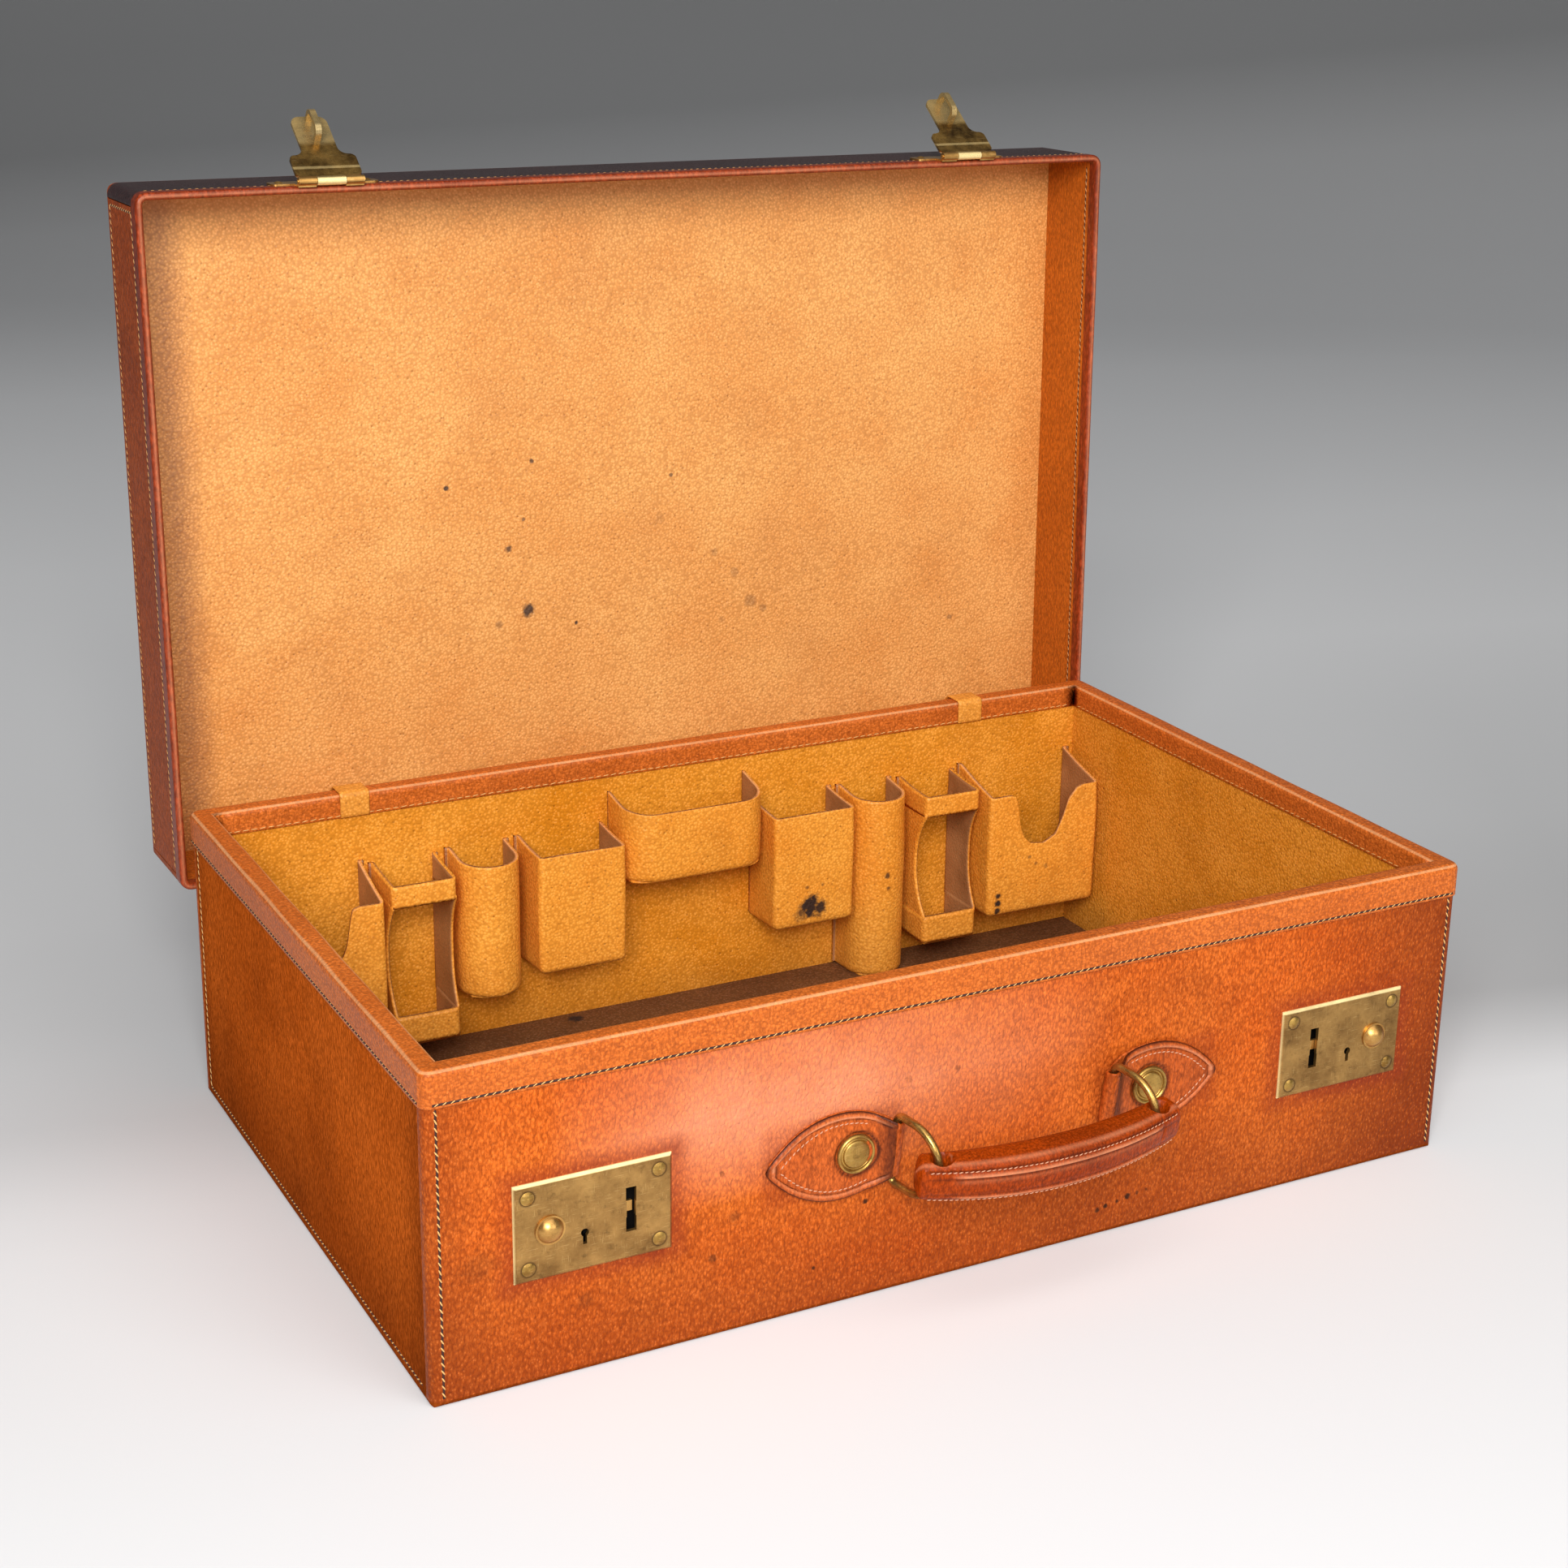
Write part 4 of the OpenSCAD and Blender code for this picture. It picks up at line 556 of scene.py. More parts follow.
# Lengths along a line from its first point, and the line's columns read at given lengths
def measured(line):
    return np.r_[0, np.cumsum(np.linalg.norm(np.diff(line, axis=0), axis=1))]


def sampled(line, step, at):
    return np.stack([np.interp(at, step, line[:, c]) for c in range(line.shape[1])], -1)


# Polyline with round corners, resampled to n points at even spacing
def filletPath(points, radii, n):
    pts = [np.array(p, float) for p in points]
    out = []
    count = len(pts)
    for i, p in enumerate(pts):
        r = radii[i] if hasattr(radii, "__len__") else radii
        if i in (0, count - 1) or r <= 0:
            out.append(p)
            continue
        a, b = pts[i - 1] - p, pts[i + 1] - p
        la, lb = np.linalg.norm(a), np.linalg.norm(b)
        a, b = a / la, b / lb
        half = math.acos(np.clip(a @ b, -1, 1)) / 2
        cut = min(r / math.tan(half), la * 0.499, lb * 0.499)
        r = cut * math.tan(half)
        mid = (a + b) / np.linalg.norm(a + b)
        centre = p + mid * r / math.sin(half)
        s, e = p + a * cut - centre, p + b * cut - centre
        sweep = math.acos(np.clip(s @ e / (r * r), -1, 1))
        for k in range(9):
            f = k / 8
            out.append(centre + (math.sin((1 - f) * sweep) * s + math.sin(f * sweep) * e) / math.sin(sweep))
    out = np.array(out)
    step = measured(out)
    return sampled(out, step, np.linspace(0, step[-1], n))


# Smooth wandering value of a position, between about -1 and 1: a sum of sines
def wander(p, scale, seed=0.0):
    p = np.asarray(p, float) / scale
    x, y, z = p[..., 0], p[..., 1], p[..., 2]
    return (np.sin(1.7 * x + 2.3 * y + seed) + np.sin(2.9 * y - 1.9 * z + 2.1 * seed + 1)
            + np.sin(2.3 * z + 1.3 * x + 0.7 * seed + 2) + 0.5 * np.sin(4.1 * x - 3.7 * z + seed)) / 3.0


stitchRings = 5
stitchSides = 6


# Stitches along a line: n short barrels, each lying along the line and half sunk in the surface
def stitches(name, line, outward, paint=thread, pitch=3.7, size=(3.1, 0.72, 0.5), slant=0.5, lift=0.1):
    line = np.asarray(line, float)
    outward = np.broadcast_to(np.asarray(outward, float), line.shape)
    step = measured(line)
    count = max(2, int(step[-1] / pitch))
    at = (np.arange(count) + 0.5) * step[-1] / count
    pos, out = sampled(line, step, at), sampled(outward, step, at)
    ahead, behind = sampled(line, step, np.minimum(at + 0.5, step[-1])), sampled(line, step, np.maximum(at - 0.5, 0))
    along = unit(ahead - behind)
    out = unit(out - along * np.sum(out * along, 1, keepdims=True))
    side = np.cross(out, along)
    tilt = slant + rng.normal(0, 0.05, count)
    a2 = along * np.cos(tilt)[:, None] + side * np.sin(tilt)[:, None]
    s2 = np.cross(out, a2)
    u = np.linspace(-1, 1, stitchRings)
    v = np.linspace(0, 2 * math.pi, stitchSides, endpoint=False)
    fat = np.sqrt(np.clip(1 - np.abs(u) ** 2.6, 0.06, 1))
    length = size[0] / 2 * (1 + rng.normal(0, 0.05, count))
    local = np.stack([np.repeat(u, stitchSides), np.outer(fat, np.cos(v)).ravel() * size[1] / 2,
                      np.outer(fat, np.sin(v)).ravel() * size[2] / 2 - np.repeat(u ** 2, stitchSides) * 0.12], -1)
    verts = (pos[:, None] + a2[:, None] * local[None, :, :1] * length[:, None, None]
             + s2[:, None] * local[None, :, 1:2] + out[:, None] * (local[None, :, 2:3] + lift))
    k = stitchRings * stitchSides
    one = gridFaces(stitchRings, stitchSides, False, True)
    one += [list(range(stitchSides))[::-1], list(range(k - stitchSides, k))]
    faces = [face for c in range(count) for face in counted(one, c * k)]
    return build(name, verts.reshape(-1, 3), faces, None, paint)


# Several runs of stitches joined into one piece
def stitchRuns(name, runs, body, **options):
    made = [stitches(name + str(i), line, out, **options) for i, (line, out) in enumerate(runs)]
    keep = made[0]
    with bpy.context.temp_override(active_object=keep, selected_editable_objects=made):
        bpy.ops.object.join()
    keep.name = name
    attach(keep, body)
    return keep


# Thin dark strip under a row of stitches: proud of the surface in its middle, sunk below it
def groove(name, lines, body, width):
    proud, sunk = 0.06, 0.3
    verts, faces = [], []
    for line, out in lines:
        line = np.asarray(line, float)
        out = np.broadcast_to(np.asarray(out, float), line.shape)
        along = np.gradient(line, axis=0)
        side, out = unit(np.cross(out, along)), unit(out)
        rows = np.stack([line - side * width / 2, line + out * proud, line + side * width / 2, line - out * sunk], 1)
        first = len(verts)
        faces += gridFaces(len(line), 4, False, True, start=first)
        verts += rows.reshape(-1, 3).tolist()
        faces += counted([(3, 2, 1, 0)], first) + counted([range(4)], len(verts) - 4)
    return build(name, verts, faces, body, edgeHide)


# Even points from a to b
def straight(a, b, n=40):
    f = np.linspace(0, 1, n)[:, None]
    return np.array(a, float) * (1 - f) + np.array(b, float) * f


# sizes from the CAD, in mm
case = {"l": 560.0, "d": 354.0, "h": 161.0, "corner": 5.0, "wall": 10.0}
hl, hd = case["l"] / 2, case["d"] / 2
lid = {"front": 184.8, "back": 181.9, "side": 285.4, "edge": 114.0, "top": 173.0, "wall": 3.6, "open": 91.0}
yBack = hd - case["wall"]


# Closed lid to open lid, for points and for directions
def opened(p):
    return turnedX(p, -lid["open"], (lid["back"], lid["edge"]))


def openedWay(v):
    return turnedX(v, -lid["open"])


# Rounded rectangle of a frame moved in by some distance, with the same points for each distance:
# p points on each straight side and q on each corner's arc
def frameLoop(x, y, r, inset, p=60, q=7, mid=(0, 0)):
    hx, hy = x / 2 - inset, y / 2 - inset
    rr = max(r - inset, 0.35)
    pts = []
    corners = [(hx - rr, -hy + rr, -90), (hx - rr, hy - rr, 0), (-hx + rr, hy - rr, 90), (-hx + rr, -hy + rr, 180)]
    for k, (cx, cy, a0) in enumerate(corners):
        for s in range(q):
            a = math.radians(a0 + 90 * s / (q - 1))
            pts.append((cx + rr * math.cos(a), cy + rr * math.sin(a)))
        nx, ny, _ = corners[(k + 1) % 4]
        a = math.radians(a0 + 90)
        e = (nx + rr * math.cos(a), ny + rr * math.sin(a))
        s0 = pts[-1]
        pts += [(s0[0] * (1 - f) + e[0] * f, s0[1] * (1 - f) + e[1] * f) for f in np.arange(1, p) / p]
    return np.array(pts) + np.array(mid)


# A section swept round a frame: its points are (inset, height)
def frameSweep(section, x, y, r, **place):
    return np.stack([points(*frameLoop(x, y, r, d, **place).T, z) for d, z in section], 1)


# carried-over nodes
paints = {}
for paint, names in (
        (frontHide, "base_front"), (backHide, "base_back"), (endHide, "base_left base_right base_bottom"),
        (baseLining, "lining_front lining_back lining_left lining_right"), (floorLining, "lining_floor"),
        (lidHide, "lid_panel lid_back lid_left lid_right"), (lidTopHide, "lid_front"), (facingHide, "lid_facings"),
        (lidLining, "lid_lining"), (studBrass, "lock_nails"), (brassPlate, "lock_plate_left lock_plate_right"),
        (pine, "lid_board carcass_front carcass_back carcass_left carcass_right carcass_floor"),
        (darkSteel, "lock_case_left lock_case_right lock_spring_left lock_spring_right key_cam_left key_cam_right"),
        (brassBright, "lock_bolt_left lock_bolt_right hasp_plates hasp_rivets"), (brassNail, "hasp_pins"),
        (brassRing, "ring_left ring_right"), (brassHasp, "hasp_left hasp_right")):
    paints.update({name: paint for name in names.split()})
for name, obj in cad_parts.items():
    paint = paints.get(name, pocketSkin)
    obj.data.materials.clear()
    obj.data.materials.append(paint)
print("nodes painted")

# rim binding
binding = {"t": 1.0, "out": 17.0, "in": 13.0, "r": 2.8, "rowEnd": 4, "row": {"out": 1.6, "in": 1.2}}
over = case["wall"] + 2 * binding["t"]
section = filletPath([(0.5, case["h"] - binding["out"]), (0.5, case["h"] - 0.5),
                      (over - 0.5, case["h"] - 0.5), (over - 0.5, case["h"] - binding["in"])],
                     [0, binding["r"], binding["r"], 0], 46)
grid = frameSweep(section, case["l"] + 2 * binding["t"], case["d"] + 2 * binding["t"], case["corner"] + binding["t"])
# its upper face is a little uneven
tall = np.clip((grid[..., 2] - 150) / 11, 0, 1)
grid[..., 2] += wander(grid, 38, 1.0) * 0.22 * tall
verts, faces = thick(grid, binding["t"], 0.35, loop=True)
build("rimBinding", verts, faces, "base", bandHide, ("rim_binding",))


# Runs along the four sides of a frame at height z, to rowEnd from its corners: out is 1 for its
# outer face and -1 for its inner
def around(x, y, z, endX, endY, out):
    runs = [(straight((s * endX, s * y, z), (-s * endX, s * y, z)), (0, out * s, 0)) for s in (-out, out)]
    return runs + [(straight((s * x, -s * endY, z), (s * x, s * endY, z)), (out * s, 0, 0)) for s in (-1, 1)]


runs = around(hl + binding["t"], hd + binding["t"], case["h"] - binding["out"] + binding["row"]["out"],
              hl - binding["rowEnd"], hd - binding["rowEnd"], 1)
stitchRuns("bandStitches", runs, "base", lift=-0.08)
inX, inY = hl - case["wall"] - binding["t"], yBack - binding["t"]
inner = around(inX, inY, case["h"] - binding["in"] + binding["row"]["in"], inX - binding["rowEnd"],
               inY - binding["rowEnd"], -1)
stitchRuns("innerStitches", inner, "base", pitch=4.6, size=(3.6, 0.5, 0.4), slant=0.1)
groove("bandGroove", runs, "base", 1.2)
print("binding made")

# rows of stitches on the base's leather: upright ones on the front and back, and along each end
seam = {"inset": 5.6, "low": 4, "high": 143, "endLow": 6, "endBack": 12, "endFront": 11.5}
x, endY = hl - seam["inset"], hd - seam["endBack"]
runs = [(straight((s * x, way * hd, seam["low"]), (s * x, way * hd, seam["high"])), (0, way, 0))
        for way in (-1, 1) for s in (-1, 1)]
for s in (-1, 1):
    foot = (s * hl, endY, seam["endLow"])
    runs.append((straight((s * hl, endY, seam["high"]), foot), (s, 0, 0)))
    runs.append((straight(foot, (s * hl, -hd + seam["endFront"], seam["endLow"])), (s, 0, 0)))
stitchRuns("caseStitches", runs, "base")
groove("caseGroove", runs, "base", 1.1)


# lid edge
lidMid = (lid["back"] - lid["front"]) / 2
welt = {"t": 0.7, "out": 9.0, "in": 7.0, "r": 1.7, "corner": 6.0, "sunk": 0.15}
section = filletPath([(welt["sunk"], welt["out"]), (welt["sunk"], welt["t"] / 2),
                      (lid["wall"] - welt["sunk"], welt["t"] / 2), (lid["wall"] - welt["sunk"], welt["in"])],
                     [0, welt["r"], welt["r"], 0], 26)
grid = frameSweep(section + (0, lid["edge"]), 2 * lid["side"], lid["back"] + lid["front"], welt["corner"],
                  mid=(0, lidMid))
grid[..., 0] += wander(grid, 45, 3.0) * 0.12
grid[..., 1] += wander(grid, 40, 5.0) * 0.12
# painted highlight along the middle of its rounded edge, painted shade towards both sides
fromMid, atEdge = np.abs(section[:, 0] - lid["wall"] / 2), section[:, 1] < 1.2
ridge = np.exp(-(fromMid / 0.6) ** 2) * atEdge * 0.4 + grid[..., 0] * 0
crease = np.clip((fromMid - 1.6) / 0.8, 0, 0.8) + grid[..., 0] * 0
verts, faces = thick(opened(grid), welt["t"], 0.3, loop=True)
build("lidWelt", verts, faces, "lid", weltHide, ("lid_welt",),
      carries={"crease": spread(crease, True), "ridge": spread(ridge, True)})

lowZ, highZ = lid["edge"] + 10.5, lid["top"] - 6
rear, front = lid["back"] - 10, -lid["front"] + 10
runs = []
for s in (-1, 1):
    x, inX = s * lid["side"], s * (lid["side"] - lid["wall"])
    for a, b, way in (((x, rear, lowZ), (x, front, lowZ), s), ((inX, rear + 2, lowZ), (inX, front - 2, lowZ), -s),
                      ((x, rear, highZ), (x, front, highZ), s), ((x, front + 0.5, lowZ), (x, front + 0.5, highZ), s)):
        runs.append((opened(straight(a, b)), openedWay((way, 0, 0))))
for y, way in ((-lid["front"], -1), (lid["back"], 1)):
    line = straight((-lid["side"] + 6, y, lowZ), (lid["side"] - 6, y, lowZ))
    runs.append((opened(line), openedWay((0, way, 0))))
stitchRuns("lidStitches", runs, "lid", paint=threadDark)
groove("lidGroove", runs, "lid", 1.0)
print("lid edge made")

# pockets
pocketT, bottomR, clear = 2.0, 3.2, 0.9  # wall thickness, moulded foot, gap to the lining's face
row = {"x": -2.0, "back": yBack}


# Plan of a pocket from the back left round the front to the back right, with small flanges
# where the leather turns onto the lining
def pocketPlan(w, d, r, n, flangeL, flangeR):
    w2, d2, r2 = w / 2 - pocketT / 2, d - pocketT / 2, max(r - pocketT / 2, 0.8)
    pts = [(-w2 - flangeL, -clear), (-w2, -clear), (-w2, -d2), (w2, -d2), (w2, -clear), (w2 + flangeR, -clear)]
    return filletPath(pts, [0, 1.6, r2, r2, 1.6, 0], n)


# Height of a pocket's mouth: falls from the back to the front, and sags by 0.6 mm along each side
def mouth(plan, d, zBack, zFront):
    depth = clip01(-plan[:, 1] / d)
    return zBack + (zFront - zBack) * depth - 0.6 * np.sin(math.pi * depth)


# Numbers for a sheet made by thick(): 1 on the side nearer the pocket's middle, 1 on the mouth's rim
def sheetMasks(verts, m, n, centre):
    ring = np.asarray(verts)[:m * (2 * n + 2)].reshape(m, 2 * n + 2, 3)
    far = lambda part: np.hypot(part[..., 0] - centre[0], part[..., 1] - centre[1])
    nearer = far(ring[:, :n]) < far(ring[:, n + 1:2 * n + 1][:, ::-1])
    inner, rim = np.zeros(len(verts)), np.zeros(len(verts))
    a, b = (flat[:m * (2 * n + 2)].reshape(m, 2 * n + 2) for flat in (inner, rim))
    a[:, :n], a[:, n + 1:2 * n + 1] = nearer, ~nearer[:, ::-1]
    b[:, n] = 1
    return inner, rim


# A moulded pocket, off mm from the row's middle: w wide and d deep, its corners of radius r in plan,
# its wall of n by m points from zLow to its mouth, and its floor
def pocketShell(name, node, side, off, w, d, zLow, zBack, zFront, r, flanges, paint=pocketSkin, notch=None,
                swell=0.9, n=150, m=26, seed=0.0):
    cx = row["x"] + side * off
    plan = pocketPlan(w, d, r, n, *flanges)
    top = mouth(plan, d, zBack, zFront)
    if notch:
        top = notch(plan, top, d)
    v = np.r_[0, 0.006, 0.013, 0.022, 0.034, np.linspace(0.05, 0.985, m - 6), 1.0]
    z = zLow + pocketT / 2 + (top - zLow - pocketT / 2)[:, None] * v[None]
    grid = points(plan[:, :1] + cx, plan[:, 1:] + row["back"], z)
    # walls swell outwards between their corners and lean in a little at the mouth
    inner = clip01(-plan[:, 1] / d)[:, None]
    bow = swell * np.sin(math.pi * clip01(v)) ** 0.8 * inner
    wob = wander(grid, 24, seed) * 0.5 * inner
    centre = np.array([cx, row["back"] - d / 2])
    way = grid[..., :2] - centre
    way /= np.maximum(np.linalg.norm(way, axis=-1, keepdims=True), 1e-6)
    grid[..., :2] += way * (bow * 0.5 + wob * 0.8)[..., None] * (grid[..., 1:2] < row["back"] - 2.0)
    # moulded lower edge: inset = r - sqrt(r^2 - (r - height)^2)
    height = np.clip(z - zLow - pocketT / 2, 0, bottomR)
    inset = bottomR - np.sqrt(bottomR ** 2 - (bottomR - height) ** 2)
    grid[..., 0] -= np.clip(grid[..., 0] - cx, -1, 1) * np.minimum(inset, np.abs(grid[..., 0] - cx)) * inner
    grid[..., 1] += inset * clip01((inner - 0.25) / 0.5)
    grid[..., 1] = np.minimum(grid[..., 1], row["back"] - clear)
    verts, faces = thick(grid, -pocketT * 0.95, 0.45)
    inner, rim = sheetMasks(verts, n, m, centre)
    # floor of the pocket
    reach = w / 2 - pocketT * 0.5 - bottomR * 0.8
    xs = np.linspace(-reach, reach, 24)
    depthAt = np.array([max(-plan[np.abs(plan[:, 0] - x) < w / n * 3 + 0.6, 1].min(), 2) for x in xs])
    f = np.linspace(0, 1, 14)
    depthAt = np.maximum(depthAt - bottomR * 0.7, 2)
    floor = points(xs[:, None] + cx, row["back"] - 0.8 - f * (depthAt[:, None] - 0.8), zLow + pocketT / 2)
    floor[..., 2] -= 0.5 * np.sin(math.pi * f)[None]
    fv, ff = thick(floor, pocketT * 0.9, 0.45)
    faces += counted(ff, len(verts))
    verts = np.concatenate([verts, fv])
    more = np.zeros(len(fv))
    return build(name, verts, faces, "base", paint, (node,),
                 carries={"inner": np.r_[inner, more], "rim": np.r_[rim, more]})


# Notch of a large pocket's front: a rounded U through measured points, narrow shoulders each side
notchAcross = [-40.0, -24.0, -20.5, -18.8, -17.2, -14.5, -9.5, 0.5, 9.0, 14.0, 17.0, 22.5, 27.0, 40.0]
notchHeight = [0.0, 0.0, -1.2, -9.5, -20.5, -27.5, -32.5, -34.0, -29.5, -18.5, -8.5, -1.6, 0.0, 0.0]


def bigNotch(side):
    def cut(plan, top, d):
        frontness = clip01((-plan[:, 1] - d * 0.82) / (d * 0.1))
        fine = np.linspace(-40, 40, 801)
        drop = np.interp(fine, notchAcross, notchHeight)
        soft = np.convolve(np.pad(drop, 14, mode="edge"), np.hanning(29) / np.hanning(29).sum(), mode="valid")
        return top + np.interp(side * plan[:, 0], fine, soft) * frontness
    return cut


# kind, place from the row's middle, width, depth, feet, mouth at the back and front, corner, flanges
sides = ((-1, "Left"), (1, "Right"))
seed = 0
for kind, off, w, d, lows, high, r, flanges, more in (
        ("large", 227.75, 76.5, 40, (34, 34), (122.5, 111), 3.0, ((1.5, 2.4), (2.4, 3.5)), {"n": 260, "m": 34}),
        ("tube", 122.75, 34.5, 34, (40, 6.5), (121.5, 118.5), 17.2, ((2.6, 2.6), (2.6, 2.6)), {}),
        ("box", 73, 52, 35, (49, 49), (122, 119), 3.0, ((2.6, 1.0), (1.0, 2.6)), {})):
    for (side, word), zLow, flange, paint in zip(sides, lows, flanges, (pocketSkin, markedSkin)):
        seed += 1
        pocketShell(kind + "Pocket" + word, "pocket_" + kind + "_" + word.lower(), side, off, w, d, zLow, *high, r,
                    flange, paint, bigNotch(side) if kind == "large" else None, seed=seed, **more)
pocketShell("trayPocket", "pocket_tray", 0, 0, 87, 35, 92, 139.5, 133.5, 20, (0.9, 0.9), seed=7, swell=1.4)


# Bottle pocket: band above, cup below, and two sides whose front edges curve in by
# window * (1 - (|z - middle| / rise)^2.4)
bottle = {"w": 37, "d": 36, "r": 3.0, "off": 165.5, "low": 23.0, "cup": 41.0, "band": 104.5, "mouth": (120.0, 117.0),
          "flange": 2.4, "window": 10.0}


def bottlePocket(name, node, side, seed):
    w, d, zLow, zA, zB = (bottle[key] for key in ("w", "d", "low", "cup", "band"))
    cx = row["x"] + side * bottle["off"]
    parts = []

    def addLoop(z0, topZ, m):
        plan = pocketPlan(w, d, bottle["r"], 120, bottle["flange"], bottle["flange"])
        top = np.full(len(plan), topZ) if np.isscalar(topZ) else mouth(plan, d, *topZ)
        v = np.linspace(0, 1, m)
        z = z0 + (top - z0)[:, None] * v[None]
        g = points(plan[:, :1] + cx, plan[:, 1:] + row["back"], z)
        g[..., 0] += wander(g, 22, seed) * 0.35 * (plan[:, None, 1] < -3)
        g[..., 1] += wander(g, 20, seed + 2) * 0.35 * (plan[:, None, 1] < -3)
        parts.append((*thick(g, -pocketT * 0.95, 0.45), g.shape[:2]))

    addLoop(zLow + 1, zA, 8)
    addLoop(zB, bottle["mouth"], 8)
    rise = (zB - zA) / 2
    z = np.linspace(zA - 1.5, zB + 1.5, 34)
    inward = bottle["window"] * (1 - clip01(np.abs(z - (zA + zB) / 2) / rise) ** 2.4)
    for s in (-1, 1):
        f = np.linspace(0, 1, 16)[:, None]
        swell = s * 0.9 * np.sin(math.pi * (z - zA) / (zB - zA)) * f
        g = points(cx + s * (w / 2 - pocketT / 2) + swell, row["back"] - clear - f * (d - 1.6 - clear - inward), z)
        parts.append((*thick(g if s > 0 else g[::-1], pocketT * 0.93, 0.45), g.shape[:2]))
    xs = np.linspace(-w / 2 + 1.4, w / 2 - 1.4, 20)
    g = points(xs[:, None] + cx, row["back"] - 0.8 - np.linspace(0, 1, 12) * (d - 2.2), zLow + 1.0)
    parts.append((*thick(g, 1.8, 0.45), g.shape[:2]))
    verts, faces, inner = [], [], []
    for v, fs, shape in parts:
        faces += counted(fs, len(verts))
        verts += np.asarray(v).tolist()
        inner += sheetMasks(v, *shape, (cx, row["back"] - d / 2))[0].tolist()
    return build(name, verts, faces, "base", pocketSkin, (node,), carries={"inner": inner})


for (side, word), seed in zip(sides, (1.3, 2.9)):
    bottlePocket("bottlePocket" + word, "pocket_bottle_" + word.lower(), side, seed)
print("pockets made")

# hinge strip and stays
hinge = {"t": 1.2, "leg": 15.0, "leaf": 16.0, "bend": 3.6, "top": lid["edge"] - 0.45, "short": 14.0}
path = filletPath([(hd + 0.6, hinge["top"] - 4.2 - hinge["leg"]), (hd + 0.6, hinge["top"] - 0.6),
                   (hd + 4.2 + hinge["leaf"], hinge["top"] - 0.6)], [0, hinge["bend"], 0], 40)
xs = np.linspace(-hl + hinge["short"], hl - hinge["short"], 90)
verts, faces = thick(points(xs[:, None], *path.T), hinge["t"], 0.4)
strip = build("hingeStrip", verts, faces, None, lidHide, ("hinge_strip",))
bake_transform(strip)

stay = {"x": 193.5, "w": 16.5, "t": 1.2, "run": 46.0, "bent": 0.62}
rimZ = case["h"] + 0.75
slope = np.array([(hd + 1.4, rimZ), (lid["back"] + stay["run"], lid["edge"] + lid["wall"] + stay["t"] / 2)])
# the lower part of the slope keeps to the lid, so that it stays inside the lid's back when that shuts
for s, word in sides:
    inside = (yBack - 1.6, case["h"] - binding["in"] + 0.5)
    path = filletPath([inside, (inside[0], rimZ), *slope], [0, 1.8, 2.2, 0], 60)
    across = np.linspace(-1, 1, 12)[:, None] * (stay["w"] / 2 - 0.5)
    verts, faces = thick(points(across + s * stay["x"], *path.T), stay["t"], 0.45)
    strap = build("stay" + word, verts, faces, None, tabSkin, ("stay_" + word.lower(),))
    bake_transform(strap)
print("hinge and stays made")

# handle fittings
grip = {"shift": 5.5, "z": 78.0, "pitch": 120.0, "foldOut": 5.3, "turn": 19.0, "droop": 10.0,
        "depth": 28.0, "bend": 205.0, "t": 15.0, "h": 19.5, "bellyT": 18.0, "bellyH": 23.0, "end": 11.5,
        "tip": 65.5, "studSpan": 163.5, "studShift": 8.5}
foldY = -hd - grip["foldOut"]
gripX = grip["shift"] + grip["depth"] * math.sin(math.radians(grip["turn"]))
gripY = foldY - grip["depth"] * math.cos(math.radians(grip["turn"]))
arc = math.asin(grip["pitch"] / 2 / grip["bend"])
gripMidY = gripY + grip["bend"] * math.cos(arc)


# Level handle to drooping handle: turn about the line through both folds
def hung(p):
    return turnedX(p, grip["droop"], (foldY, grip["z"]))


# Half width of a tab at a distance from the fold's axis: round sides and a pointed tip, smoothed
tabAcross = [-2.0, 0.0, 5.0, 11.0, 17.0, 23.0, 28.0, 33.0, 38.0, 43.0, 48.0, 53.0, 58.0, 62.0, 65.5, 69.0]
tabHeight = [13.4, 14.6, 17.0, 19.3, 21.0, 21.9, 22.0, 21.6, 20.5, 18.7, 16.2, 12.9, 8.6, 4.6, 0.0, -4.6]
fine = np.linspace(-2, 69, 711)
tabSmooth = np.convolve(np.pad(np.interp(fine, tabAcross, tabHeight), 20, mode="reflect", reflect_type="odd"),
                        np.hanning(41) / np.hanning(41).sum(), mode="valid")


def tabHalf(x):
    return np.maximum(np.interp(x, fine, tabSmooth), 0)


